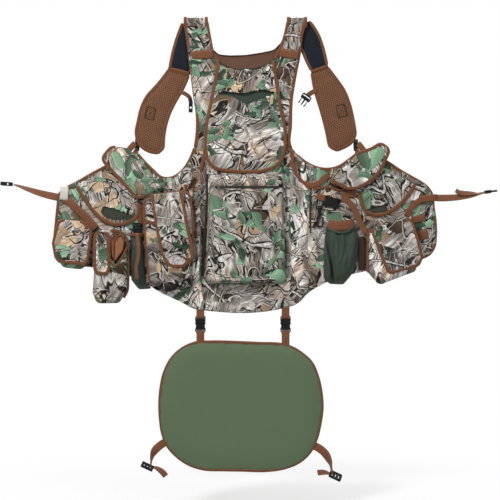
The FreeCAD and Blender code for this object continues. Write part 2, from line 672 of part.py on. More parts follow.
def web_loop(bar_v, reach):
    """Webbing sewn into a loop around a bar at bar_v, tapering to its end at v = reach."""
    s = 1.0 if reach > bar_v else -1.0
    outer, tail, hole, width = 4.1, 1.0, 2.65, 20.0
    half = [(bar_v - s * outer, -outer + 1), (bar_v - s * (outer - 1), -outer),
            (bar_v + s * (outer - 1), -outer), (bar_v + s * (outer + 5), -tail), (reach, -tail)]
    profile = half + [(v, -w) for v, w in reversed(half)]
    opening = [(bar_v - hole, -hole), (bar_v + hole, -hole), (bar_v + hole, hole),
               (bar_v - hole, hole)]
    return side_prism(profile, width / 2).cut(side_prism(opening, width))


def ladder_lock(width, length, thickness):
    """Frame with three slots across it."""
    h = width / 2
    body = local_prism(mirror_u([(h - 1.5, 0), (h, 1.5), (h, length - 1.5), (h - 1.5, length)]),
                       -thickness / 2, thickness / 2)
    for start, end in ((0.19, 0.28), (0.46, 0.54), (0.73, 0.81)):
        slot = rectangle(h - 2, start * length, end * length)
        body = body.cut(local_prism(slot, -THROUGH, THROUGH))
    return body


# ---------------------------------------------------------------- back
def back_panel():
    return prism(bound_cloth("back_panel", BACK_RUNS), *SHELL_Y)


def back_binding():
    """Tape round the armholes, the neck and the upper pouch."""
    # the neck tape wraps the outer cloth only, and the yoke passes behind it
    neck_y = (BINDING_Y[0], SHELL_Y[1])
    polygon, panel = outline("back_panel"), back_panel()
    tapes = [cleared(strip(polygon, run, BINDING_W, y), [panel])
             for run, y in zip(BACK_RUNS, (BINDING_Y, neck_y, BINDING_Y))]
    return compound(tapes + [ring(outline("upper_pouch"), BINDING_W, POUCH_TAPE_Y)])


def lining_piece(y, z0, z1):
    """The part of the back lining between two heights, clear of the armhole tapes."""
    piece = plate("back_lining", y).common(box(-400, 400, -20, 20, z0, z1))
    for room in tape_room("back_panel", [LEFT_ARMHOLE, RIGHT_ARMHOLE]):
        piece = piece.cut(room)
    return largest(piece)


def upper_pouch():
    """Pouch cloth below and above the slit."""
    body = prism(inside_binding("upper_pouch"), *POUCH_CLOTH_Y)
    lower, upper = (body.common(plate(region, (-40, 20))) for region in ("pouch_lip", "pouch_band"))
    return compound(lower.Solids + upper.Solids)


def game_pocket():
    """Bellows wall and front."""
    polygon = outline("game_pocket")
    wall_y = POCKET_Y - GAME_DEPTH
    wall = ring(polygon, 3.0, (wall_y, POCKET_Y))
    front = pillow(polygon, wall_y - GAP, wall_y - 1.4, GAME_FRONT_Y, 2.4)
    return compound([wall, front])


ZIP_X = (-75, 80)
ZIP_Z = 23.75
ZIP_HALF_W = 3.4


def game_pocket_zip():
    return box(*ZIP_X, GAME_FRONT_Y - 1.4, GAME_FRONT_Y - GAP, ZIP_Z - ZIP_HALF_W, ZIP_Z + ZIP_HALF_W)


def zip_slider():
    x, y, z = ZIP_X[0], GAME_FRONT_Y, ZIP_Z
    slider = box(x + 4, x + 12, y - 4.4, y - 1.6, z - 3.2, z + 3.2)
    pull = box(x + 6.2, x + 9.8, y - 5.8, y - 4.4, z - 17, z + 1.5)
    pull = pull.cut(box(x + 7.2, x + 8.8, y - 7, y, z - 15.5, z - 10))
    return slider.fuse(pull).removeSplitter()


# (x, z) outlines: a bar across each shoulder, and a loop at the neck
SHOULDER_BARS = [
    [(-140.5, 366), (-83.5, 368.25), (-81.5, 346.5), (-139, 342.5)],
    [(86.5, 370.75), (134, 365), (128.5, 343), (83.5, 352)],
]
HANG_LOOP = [(-32, 342), (-32, 318), (-22, 309), (22, 309), (32, 318), (32, 342)]
HANG_LOOP_HOLE = [(-22, 343), (-22, 322), (-18, 318.5), (18, 318.5), (22, 322), (22, 343)]


def back_webbing():
    loop = prism(HANG_LOOP, *HANG_LOOP_Y).cut(prism(HANG_LOOP_HOLE, -1, 3))
    return compound([prism(bar, *BACK_BAR_Y) for bar in SHOULDER_BARS] + [loop])


# ---------------------------------------------------------------- wings
def padded(name, depth, bevel=POCKET_BEVEL):
    front = POCKET_Y - depth
    return pillow(outline(name), POCKET_Y, front + bevel, front, bevel)


def flap(name, pocket_depth):
    back = POCKET_Y - pocket_depth - FLAP_GAP
    return pillow(outline(name), back, back - FLAP_T + 1.2, back - FLAP_T, 1.6)


def over_tape(side):
    """Room for the wing's tape under what is sewn on the outer cloth."""
    return tape_room(side + "_wing", WING_RUNS[side], (BINDING_Y[0] - 0.1, 5))


def bottle_pouch(side):
    """An open-topped pouch."""
    wall, rim, rise = 1.6, 6, 60
    polygon = outline(side + "_bottle_pouch")
    inner = inset(polygon, wall)
    top = max(z for x, z in inner)
    hollow = [(x, z + (rise if z > top - rim else 0)) for x, z in inner]
    front = POCKET_Y - BOTTLE_DEPTH
    return prism(polygon, front, POCKET_Y).cut(prism(hollow, front + wall, POCKET_Y - wall))


def wing_binding(side, panel):
    """Tape of the wing's edge and round the pockets that lie flat on it."""
    # the tape stops short of the side seam, where the wing turns on the back
    way = -1 if side == "left" else 1
    beyond_seam = box(SEAM_X * way, 900 * way, -60, 60, -600, 600)
    polygon = outline(side + "_wing")
    tapes = [cleared(strip(polygon, run, BINDING_W, BINDING_Y).common(beyond_seam), [panel])
             for run in WING_RUNS[side]]
    mesh_y = (POCKET_Y - MESH_DEPTH - 0.8, POCKET_Y)
    tapes.append(ring(outline(side + "_mesh_pocket"), BINDING_W, mesh_y))
    if side == "left":
        tapes.append(ring(outline("left_tall_pocket"), BINDING_W, (-8.4, POCKET_Y)))
    return compound(tapes)


def wing(side):
    """The pieces that both wings have."""
    name = side + "_wing"
    cloth = bound_cloth(name, WING_RUNS[side])
    panel = prism(cloth, *SHELL_Y)
    lining = prism(inset(cloth, 2.5), *LINING_Y)
    mesh_front = POCKET_Y - MESH_DEPTH
    mesh = prism(inside_binding(side + "_mesh_pocket"), mesh_front, POCKET_Y)
    window = outline(side + "_mesh_window")
    return {
        side + "_wing_panel": panel,
        side + "_wing_lining": cleared(lining, tape_room(name, WING_RUNS[side])),
        side + "_wing_binding": wing_binding(side, panel),
        side + "_mesh_pocket": mesh.cut(prism(window, -30, 5)),
        side + "_mesh_window": prism(inset(window, 0.3), mesh_front + 1.2, mesh_front + 2.4),
        side + "_upper_pocket": padded(side + "_upper_pocket", UPPER_DEPTH),
        side + "_upper_flap": flap(side + "_upper_flap", UPPER_DEPTH),
        side + "_square_pocket": cleared(padded(side + "_square_pocket", SQUARE_DEPTH),
                                         over_tape(side)),
        side + "_square_flap": flap(side + "_square_flap", SQUARE_DEPTH),
        side + "_bottle_pouch": bottle_pouch(side),
        side + "_belt_strap": plate(side + "_belt_strap", BELT_Y),
    }


def left_tall_pocket():
    front = POCKET_Y - TALL_DEPTH
    return pillow(inside_binding("left_tall_pocket"), POCKET_Y, front + 6, front, POCKET_BEVEL)


def call_pocket():
    return padded("call_pocket", CALL_DEPTH, CALL_BEVEL).cut(plate("call_mouth", (-80, -9.0)))


# (x, z) outlines of the three leaves in the mouth of the call pocket
CALL_LEAVES = [
    [(-332.5, -108.75), (-327, -99), (-325.5, -158), (-332, -151.5)],
    [(-323, -97.5), (-316.5, -96), (-316, -155), (-322.75, -161)],
    [(-313, -98.5), (-306.5, -105.5), (-307, -142.5), (-313.25, -150.5)],
]


def call_dividers():
    return compound([prism(leaf, -38.5, -9.6) for leaf in CALL_LEAVES])


def left_webbing():
    tail_y = POCKET_Y - BOTTLE_DEPTH - 0.4
    return compound([plate("left_diag_web", WEB_Y)]
                    + plates(("left_link_web", "left_link_tail"), LINK_Y)
                    + [plate("left_storage_tail", (tail_y - WEB_T, tail_y))])


# (x, z) outlines of the short webs near the outer end of the right wing
RIGHT_SHORT_WEBS = [
    [(396.5, -43.5), (416.5, -16), (433.5, -2.5), (433.5, -19), (414, -38.5), (405, -48)],
    [(418, -49), (442.5, -44), (446, -61), (421.5, -66)],
    [(429, -83), (450, -80), (454, -104.5), (434, -108.5)],
]


def right_webbing():
    names = ("right_diag_web", "right_armhole_web", "right_anchor_web", "right_belt_root")
    short = [prism(web, *WEB_Y) for web in RIGHT_SHORT_WEBS]
    room = over_tape("right")
    return compound(cleared_each(plates(names, WEB_Y), room)
                    + plates(("right_link_web", "right_link_tail"), LINK_Y)
                    + cleared_each(short, room))


def right_stow_buckle():
    at = (206.5, -11.2, -11)
    return compound([placed(half, at, angle_dir(15)) for half in (female_half(), male_half())])


# (u, v) outlines of the trigger snap
SNAP_STEM = [(-3, 8), (3, 8), (3.6, 12), (3.6, 24), (-3.6, 24), (-3.6, 12)]
SNAP_HOOK = [
    (-3.6, 24), (3.6, 24), (8.4, 30), (9.0, 44), (6.0, 52), (0, 55), (-6.0, 52), (-9.0, 45),
    (-9.0, 40), (-5.6, 40), (-5.4, 45), (-3.0, 49.4), (0, 51), (3.4, 49), (5.4, 43), (5.0, 32),
    (0.5, 27.5), (-3.6, 27.5),
]
SNAP_GATE = [(-8.6, 27.9), (-5.0, 27.9), (-5.4, 39.6), (-8.8, 39.6)]


def swivel_snap():
    """Trigger snap hanging beside the right bottle pouch."""
    eye = local_prism(rectangle(8, 0, 8), -2, 2).cut(local_prism(rectangle(5.6, 2, 5.8), -4, 4))
    stem = local_prism(SNAP_STEM, -2.6, 2.6)
    hook = local_prism(SNAP_HOOK, -2.6, 2.6)
    gate = local_prism(SNAP_GATE, -1.6, 1.6)
    body = eye.fuse([stem, hook]).removeSplitter()
    return compound([placed(s, (182.5, -10.4, -22.5), (0.05, 0, -1)) for s in (body, gate)])


# ---------------------------------------------------------------- shoulder straps
# place, direction and tilt of the ladder lock at the lower end of each strap
STRAP_LOCKS = {
    "left": ((-273.5, 12.6, 116.5), (0.06, 0, 1), 62),
    "right": ((276, 12.6, 116.5), (-0.06, 0, 1), -62),
}


def chest_buckle(side):
    if side == "left":
        return placed(female_half(), (-139, 14.6, 213.75), (0.02, 0, 1), ACROSS)
    return placed(male_half(), (147, 11.0, 244.5), angle_dir(125))


def room_around(shape, play=0.5):
    b = shape.BoundBox
    return box(b.XMin - play, b.XMax + play, b.YMin - play, b.YMax + play,
               b.ZMin - play, b.ZMax + play)


def strap(side):
    at, direction, tilt = STRAP_LOCKS[side]
    lock = placed(ladder_lock(14, 20, 5), at, direction, tilted(direction, tilt))
    chest = chest_buckle(side)
    outer, inner = STRAP_LINER_Y
    liner = [pillow(outline(side + "_strap_upper"), outer, inner - 2, inner, 2.0),
             plate(side + "_sternum_web", STERNUM_WEB_Y)]
    if side == "left":
        liner = cleared_each(liner, [chest])
    outer, inner = STRAP_PAD_Y
    pad = pillow(outline(side + "_strap_pad"), outer, inner - 5, inner, 5.0)
    return {
        side + "_strap_liner": compound(liner),
        side + "_strap_pad": cleared(pad, [room_around(lock)]),
        side + "_ladder_lock": compound([lock, chest]),
    }


# ---------------------------------------------------------------- seat
BUCKLE_Z = -311.5          # where the two halves of the hanging buckles meet
# x of each hanging buckle, top of its upper webbing, bottom of its lower webbing
SEAT_HANGERS = ((-114.0, -286.2, -358.9), (98.8, -284.2, -365.0))


def seat_buckles():
    """The two hanging buckles and their webbing."""
    spots = [(x, SEAT_MID_Y, BUCKLE_Z) for x, top, bottom in SEAT_HANGERS]
    hangers = [placed(web_loop(MALE_BAR_V, BUCKLE_Z - top), at, DOWN)
               for at, (x, top, bottom) in zip(spots, SEAT_HANGERS)]
    lower = [placed(web_loop(FEMALE_BAR_V, BUCKLE_Z - bottom), at, DOWN)
             for at, (x, top, bottom) in zip(spots, SEAT_HANGERS)]
    seat_room = plate("seat", (-40, 40))
    return {
        "seat_hanger_webbing": compound(hangers),
        "seat_male_buckles": compound([placed(male_half(), at, DOWN) for at in spots]),
        "seat_female_buckles": compound([placed(female_half(), at, DOWN) for at in spots]),
        "seat_webbing": compound([cleared(web, [seat_room]) for web in lower]),
    }


def cushion_half(polygon, y, way, height, edge):
    return pillow(polygon, y, y + way * edge, y + way * height, SEAT_BEVEL)


def seat_core():
    return inset(inside_binding("seat"), SEAT_SKIN)


def seat_cover(way):
    """One half of the cover: way is -1 for the outer side, 1 for the wearer's side."""
    y = SEAT_MID_Y + way * 0.1
    past = 3.0             # how far the hollow runs past the middle
    outer = cushion_half(inside_binding("seat"), y, way, SEAT_HALF, 4.0)
    hollow = cushion_half(seat_core(), y - way * past, way, SEAT_HALF + past - SEAT_SKIN, 7.0)
    return outer.cut(hollow)


def seat_foam():
    polygon = inset(seat_core(), 0.3)
    height = SEAT_HALF - SEAT_SKIN - 0.35
    outer, inner = (cushion_half(polygon, SEAT_MID_Y, way, height, 3.8) for way in (-1, 1))
    return outer.fuse(inner).removeSplitter()


def seat_binding():
    return ring(outline("seat"), BINDING_W, (SEAT_MID_Y - 3.0, SEAT_MID_Y + 3.0))


def seat_corners():
    """Ladder locks at the lower corners of the seat, and their webbing."""
    locks = [placed(ladder_lock(20, 32, 7), (x, SEAT_MID_Y, z), angle_dir(degrees),
                    tilted(angle_dir(degrees), 52))
             for x, z, degrees in ((-261, -666.5, 25), (238, -703.5, 205))]
    webs = plates(("left_corner_web", "left_corner_tail", "right_corner_web", "right_corner_tail"),
                  (SEAT_MID_Y - WEB_T / 2, SEAT_MID_Y + WEB_T / 2))
    return {
        "corner_buckles": compound(locks),
        "corner_webbing": compound(cleared_each(webs, locks)),
    }


# ---------------------------------------------------------------- all pieces
parts = {
    "back_panel": back_panel(),
    "back_binding": back_binding(),
    "back_lining": lining_piece(LINING_Y, -400, YOKE_Z - 0.4),
    "yoke_lining": lining_piece((LINING_Y[0], -0.4), YOKE_Z, 900),
    "upper_pouch_lining": prism(inside_binding("upper_pouch"), *POUCH_LINING_Y),
    "upper_pouch": upper_pouch(),
    "game_pocket": game_pocket(),
    "game_pocket_zip": game_pocket_zip(),
    "zip_slider": zip_slider(),
    "back_webbing": back_webbing(),
    "left_tall_pocket": left_tall_pocket(),
    "left_tall_flap": flap("left_tall_flap", TALL_DEPTH),
    "call_pocket": call_pocket(),
    "call_dividers": call_dividers(),
    "call_flap": flap("call_flap", CALL_DEPTH),
    "left_webbing": left_webbing(),
    "left_stow_buckle": placed(ladder_lock(22, 24, 6), (-271.5, -9.0, -64.5), DOWN),
    "left_belt_buckle": placed(female_half(), (-584, BELT_MID_Y, 31.75), (-1, 0, 0.06), ACROSS),
    "right_webbing": right_webbing(),
    "right_stow_buckle": right_stow_buckle(),
    "right_belt_buckle": placed(male_half(), (610.5, BELT_MID_Y, 13.5), (1, 0, 0.12), ACROSS),
    "swivel_snap": swivel_snap(),
    "seat_cover_front": seat_cover(-1),
    "seat_cover_back": seat_cover(1),
    "seat_foam": seat_foam(),
    "seat_binding": seat_binding(),
}
for side in ("left", "right"):
    parts.update(wing(side))
    parts.update(strap(side))
parts.update(seat_buckles())
parts.update(seat_corners())

os.makedirs("parts", exist_ok=True)
for file_name in os.listdir("parts"):
    if file_name.endswith(".step"):
        os.remove(os.path.join("parts", file_name))
for name in sorted(parts):
    parts[name].exportStep("parts/" + name + ".step")
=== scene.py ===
"""Hunting vest with a fold-down seat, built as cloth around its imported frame.

Pieces are worked out in millimetres and become metres when their meshes are made. X runs
across the back and Z up; the outer side of the cloth faces -Y. Left is -X, right is +X.
"""

import math

import bmesh
import bpy
import numpy as np
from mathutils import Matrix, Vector
from mathutils.geometry import delaunay_2d_cdt


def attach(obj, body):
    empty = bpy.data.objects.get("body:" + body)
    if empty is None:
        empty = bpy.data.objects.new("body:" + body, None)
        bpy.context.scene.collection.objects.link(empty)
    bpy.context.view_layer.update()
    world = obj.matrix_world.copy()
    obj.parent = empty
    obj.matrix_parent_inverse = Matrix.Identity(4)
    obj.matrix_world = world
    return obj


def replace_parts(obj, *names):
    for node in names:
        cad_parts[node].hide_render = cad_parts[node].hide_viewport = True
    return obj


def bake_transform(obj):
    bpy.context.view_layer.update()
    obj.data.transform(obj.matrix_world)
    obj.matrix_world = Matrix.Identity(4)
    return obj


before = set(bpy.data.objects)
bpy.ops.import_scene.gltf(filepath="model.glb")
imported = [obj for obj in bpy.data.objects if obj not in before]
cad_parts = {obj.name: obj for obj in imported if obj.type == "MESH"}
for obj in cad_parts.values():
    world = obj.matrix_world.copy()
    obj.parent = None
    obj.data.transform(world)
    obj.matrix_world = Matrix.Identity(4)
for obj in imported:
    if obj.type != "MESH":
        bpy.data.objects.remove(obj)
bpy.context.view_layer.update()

MM_PER_M = 1000.0
SIDES = {"left": -1, "right": 1}  # sign of X

# Depths (Y) that pieces are built out from
SHELL_Y = -1.8
LINING_Y = -0.9
POCKET_Y = -4.0
SEAT_Y = -2.0

# Insets of the rings of points that follow the edge of a deep pocket
POCKET_RINGS = (1.5, 3.5, 6, 9)

# ------------------------------------------------------------------ sewing pattern
# Closed outlines of (x, z) points. (x, z) lies on a smooth curve; (x, z, radius) is a corner.
PATTERN = {
    "back_panel": [
        (-129.25, -280, 0), (-129.25, 125, 0), (-124.25, 165), (-124.25, 205), (-131.25, 255),
        (-137.5, 305), (-146.25, 380), (-155, 441.5, 2.5), (-95, 441.5, 2.5), (-87.5, 397.5),
        (-78.75, 360), (-62.5, 335), (-32.5, 321.25), (0, 320), (32.5, 323.75), (60, 336.25),
        (80, 365), (92.5, 397.5), (102.5, 443.5, 2.5), (152.5, 443.5, 2.5), (140, 397.5),
        (135, 355), (125, 302.5), (115.75, 242.5), (113.75, 180), (113.75, 125),
        (129.25, 106.25, 0), (129.25, -266.25, 0), (85, -280), (30, -288.25), (-15, -290),
        (-77.5, -286.25),
    ],
    "back_lining": [
        (-127.5, -275, 0), (-127.5, 117.5, 0), (-120, 165), (-120, 205), (-126.25, 255),
        (-132.5, 305), (-141.25, 380), (-148.75, 435, 2.5), (-101.25, 435, 2.5),
        (-91.25, 392.5), (-82.5, 367.5), (-67.5, 356.25), (-40, 353.75), (0, 355),
        (40, 361.25), (70, 367.5), (86.25, 385), (97.5, 405), (107.5, 435, 2.5),
        (146.25, 435, 2.5), (135, 397.5), (130, 355), (120, 302.5), (110, 242.5),
        (108.75, 180), (108.75, 125), (127.5, 100, 0), (127.5, -260, 0), (85, -272.5),
        (30, -281.25), (-15, -283.25), (-77.5, -280),
    ],
    "upper_pouch": [
        (-71.25, 331.25, 5), (-78.75, 292.5), (-86.25, 250), (-95, 210), (-101.75, 172.5),
        (-104.25, 137.5), (-102.5, 110), (-93.75, 85), (-75, 68.75), (-40, 62.5), (0, 59.25),
        (40, 62.5), (70, 71.25), (90, 90), (98.75, 117.5), (100.75, 152.5), (96.25, 187.5),
        (87.5, 227.5), (81.25, 267.5), (75, 302.5), (66.25, 332.5, 5), (40, 320), (0, 315.5),
        (-42.5, 320),
    ],
    "game_pocket": [
        (-91.25, 56, 5), (93.75, 56, 5), (96.25, -82.5), (101.25, -217.5, 17.5),
        (-103.75, -215, 17.5), (-93.75, -82.5),
    ],
    "left_wing": [
        (-130.75, -279.25, 0), (-130.75, 122.5, 0), (-143.75, 91.25), (-162.5, 65),
        (-185, 50.5), (-210, 50.5), (-230, 67.5), (-255, 92.5), (-268.75, 108.75, 5),
        (-287.5, 111.25, 7.5), (-320, 95), (-352.5, 77.5), (-390, 57.5), (-417.5, 41.25),
        (-447.5, 26.25, 15), (-468.75, 10, 20), (-472.5, -25), (-476.25, -62.5),
        (-480, -102.5), (-478.75, -132.5), (-472.5, -162.5, 20), (-427.5, -172.5),
        (-377.5, -176.25), (-332.5, -185), (-290, -197.5), (-247.5, -217.5), (-215, -237.5),
        (-170, -258.75),
    ],
    "left_upper_flap": [
        (-335, 126.25, 20), (-292.5, 120, 7.5), (-206.25, 23.75, 7.5), (-267.5, -8.75, 20),
        (-362.5, 93.75, 20),
    ],
    "left_upper_pocket": [
        (-312.5, 92.5, 10), (-282.5, 97.5, 7.5), (-222.5, 28.75, 7.5), (-266.25, 8.75, 15),
        (-338.75, 75, 15),
    ],
    "left_mesh_pocket": [
        (-423.75, 25, 5), (-395, 45), (-367.5, 50), (-345, 42.5), (-320, 21.25),
        (-290, -6.25), (-263.75, -25, 7.5), (-268.75, -47.5), (-292.5, -65),
        (-322.5, -71.25), (-352.5, -62.5), (-377.5, -41.25), (-402.5, -8.75),
    ],
    "left_mesh_window": [
        (-353.75, -23.75, 5), (-322.5, -30.75), (-291.25, -42.5, 5), (-301.25, -54),
        (-332.5, -57.25), (-355, -47.5), (-361.25, -33.75),
    ],
    "left_tall_pocket": [
        (-252.5, 1.25, 22.5), (-141.25, 16.25, 22.5), (-132.5, -45), (-132.5, -132.5),
        (-133, -222.5, 20), (-200, -238.75, 25), (-241.25, -211.25, 15), (-248.75, -132.5),
        (-253, -57.5),
    ],
    "left_tall_flap": [
        (-233.75, 5, 5), (-158.75, 12.5, 5), (-150, -37.5), (-141.25, -87.5), (-131, -132.5),
        (-131.5, -155, 17.5), (-155, -173.75, 20), (-187.5, -175, 22.5), (-203.75, -152.5),
        (-215, -112.5), (-226.25, -52.5),
    ],
    "left_square_pocket": [
        (-462.5, -68.75, 15), (-392.5, -77.5, 15), (-393.75, -137.5), (-397.5, -165, 12.5),
        (-407.5, -181.25, 15), (-457.5, -176.25, 20), (-473.75, -150, 12.5), (-472.5, -102.5),
    ],
    "left_square_flap": [
        (-465, -56.25, 20), (-400, -61.25, 22.5), (-381.75, -85, 15), (-386.75, -132.5),
        (-393.75, -171.25, 15), (-471.25, -160, 20), (-479.25, -115, 12.5),
    ],
    "call_pocket": [
        (-375, -82.5, 20), (-317.5, -81.25, 27.5), (-292.5, -115, 20), (-292.5, -225, 12.5),
        (-316.25, -265, 12.5), (-372.5, -266.25, 15), (-383, -237.5, 10), (-377.5, -162.5),
    ],
    "call_mouth": [
        (-334.5, -98.75, 5), (-315, -91.25, 7.5), (-299, -110, 7.5), (-300.5, -135),
        (-322.5, -167.5, 5), (-334.5, -157.5, 5),
    ],
    "call_flap": [
        (-376.25, -87, 17.5), (-337.5, -88.25, 12.5), (-337.5, -193.75, 17.5),
        (-376.25, -191.25, 17.5),
    ],
    "left_bottle_pouch": [
        (-289, -93.75, 7.5), (-257, -93.75, 7.5), (-252, -162.5), (-247.75, -216.25, 5),
        (-232.5, -228.75, 7.5), (-267.5, -231.25, 12.5), (-286.25, -207.5, 10),
        (-289, -157.5),
    ],
    "right_wing": [
        (130.75, -265, 0), (130.75, 104.5, 0), (150, 88.75), (175, 76.25), (202.5, 71.75),
        (230, 77.5), (255, 93.75), (277.5, 111.25, 5), (300, 112.5, 7.5), (325, 103.75),
        (352.5, 90), (385, 68.75), (415, 51.25), (437.5, 38.75), (456.25, 23.75),
        (466.25, 7.5), (470, -25), (475, -62.5), (475.75, -97.5), (471.25, -127.5),
        (460, -143.75), (437.5, -155), (397.5, -165), (347.5, -175), (300, -185),
        (247.5, -197.5), (192.5, -217.5), (160, -236.25),
    ],
    "right_upper_flap": [
        (311.25, 121.25, 7.5), (335, 136.25, 20), (360, 116.25, 17.5), (347.5, 90),
        (332.5, 61.25), (307.5, 36.25), (277.5, 21.25), (251.25, 17.5, 10),
        (210, 38.75, 7.5), (245, 75), (278.75, 110, 7.5),
    ],
    "right_upper_pocket": [
        (312.5, 98.75, 10), (332.5, 86.25, 10), (321.25, 65), (297.5, 43.75),
        (272.5, 31.25, 7.5), (252.5, 28.75, 7.5), (227.5, 41.25, 7.5), (280, 95, 7.5),
    ],
    "right_mesh_pocket": [
        (422.5, 28.75, 5), (395, 45), (365, 58.75), (337.5, 55), (302.5, 26.25),
        (281.25, 10, 7.5), (286.25, -15), (296.25, -36.25, 7.5), (310, -44.5),
        (332.5, -47.5), (357.5, -39.5), (382.5, -22.5), (405, 2.5),
    ],
    "right_mesh_window": [
        (296.5, -33, 3.75), (315, -26.5), (346.25, -18.25, 5), (355, -35, 5), (327.5, -41),
    ],
    "right_square_pocket": [
        (302.5, -88.75, 7.5), (405, -63.75, 12.5), (420, -107.5), (431.25, -162.5, 12.5),
        (422.5, -186.25, 10), (365, -207.5, 15), (332.5, -221.25, 17.5),
        (302.5, -186.25, 7.5),
    ],
    "right_square_flap": [
        (308.75, -80, 10), (407.5, -51.25, 15), (422.5, -92.5), (437.5, -150, 7.5),
        (428.75, -171.25, 12.5), (352.5, -192.5, 15), (330, -137.5),
    ],
    "right_bottle_pouch": [
        (198.75, -70, 7.5), (262.5, -63.75, 10), (278.75, -90), (281.25, -132.5),
        (267.5, -187.5), (242.5, -218.75, 7.5), (210, -217.5, 10), (192.5, -205, 7.5),
        (193.75, -132.5),
    ],
    "seat": [
        (-125, -360.5), (-160, -375), (-188.75, -401.25), (-207.5, -437.5), (-216.25, -477.5),
        (-219.25, -517.5), (-217.5, -557.5), (-211.25, -595), (-200, -622.5),
        (-177.5, -648.75), (-145, -671.25), (-107.5, -683.25), (-60, -685.5), (-15, -686.25),
        (55, -687), (95, -681.25), (135, -665), (162.5, -640), (178.75, -607.5),
        (188.75, -567.5), (194, -527.5), (191.25, -487.5), (182.5, -447.5),
        (166.25, -411.25), (142.5, -388.75), (112.5, -371.25), (90, -365), (35, -362.25),
        (-15, -360), (-90, -358.5),
    ],
    "left_strap_upper": [
        (-161.25, 435, 2.5), (-106.25, 435, 2.5), (-115, 380), (-138.75, 310.5, 2.5),
        (-192.5, 324.25, 2.5), (-185, 362.5), (-172.5, 405),
    ],
    "left_strap_pad": [
        (-193.75, 321.25, 5), (-141.75, 306.25, 5), (-157.5, 270), (-175, 240),
        (-188.75, 212.5), (-198.75, 182.5), (-204.5, 150), (-205.5, 122.5, 12.5),
        (-220, 108.75, 12.5), (-245, 113.75), (-270, 131.25, 15), (-277, 162.5),
        (-272.5, 187.5), (-262.5, 227.5), (-247.5, 256.25), (-232.5, 272.5), (-215, 292.5),
    ],
    "right_strap_upper": [
        (108.75, 435, 2.5), (161.25, 440, 7.5), (181.25, 410), (195, 372.5), (204.5, 331, 2.5),
        (162.5, 316, 2.5), (151.25, 337.5), (140.75, 362.5), (125, 392.5),
    ],
    "right_strap_pad": [
        (163.25, 312, 5), (204.5, 327, 5), (225, 300), (247.5, 267.5), (261.25, 232.5),
        (270, 195), (275.75, 160, 10), (268.75, 140), (245, 122.5, 12.5), (227.5, 115, 12.5),
        (207.5, 126.25, 12.5), (198.75, 170), (186.25, 217.5), (171.25, 267.5),
    ],
}


# ------------------------------------------------------------------ outlines
def outline(piece):
    """A piece as a closed polygon: rows of x, z, position in the pattern table."""
    step = 7.0
    pts = PATTERN[piece] if isinstance(piece, str) else piece
    count = len(pts)

    def tangent(i):
        (ax, az), (bx, bz), (cx, cz) = (pts[(i + k) % count][:2] for k in (-1, 0, 1))
        before = math.hypot(bx - ax, bz - az)
        after = math.hypot(cx - bx, cz - bz)
        tx = (bx - ax) / before * after + (cx - bx) / after * before
        tz = (bz - az) / before * after + (cz - bz) / after * before
        size = math.hypot(tx, tz)
        return tx / size, tz / size

    out = []
    for i in range(count):
        start, end = pts[i], pts[(i + 1) % count]
        start_corner, end_corner = len(start) == 3, len(end) == 3
        dx, dz = end[0] - start[0], end[1] - start[1]
        length = math.hypot(dx, dz)
        out.append((start[0], start[1], i, start[2] if start_corner else None))
        if start_corner and end_corner:
            continue
        leave = None if start_corner else tuple(length * c for c in tangent(i))
        arrive = None if end_corner else tuple(length * c for c in tangent((i + 1) % count))
        if leave is None:
            leave = ((3 * dx - arrive[0]) / 2, (3 * dz - arrive[1]) / 2)
        if arrive is None:
            arrive = ((3 * dx - leave[0]) / 2, (3 * dz - leave[1]) / 2)
        pieces = max(1, int(math.ceil(length / step)))
        for k in range(1, pieces):
            t = k / pieces
            hermite = (2 * t**3 - 3 * t**2 + 1, t**3 - 2 * t**2 + t,
                       -2 * t**3 + 3 * t**2, t**3 - t**2)
            x, z = (hermite[0] * start[c] + hermite[1] * leave[c]
                    + hermite[2] * end[c] + hermite[3] * arrive[c] for c in (0, 1))
            out.append((x, z, i + t, None))
    return np.array(round_corners(out))


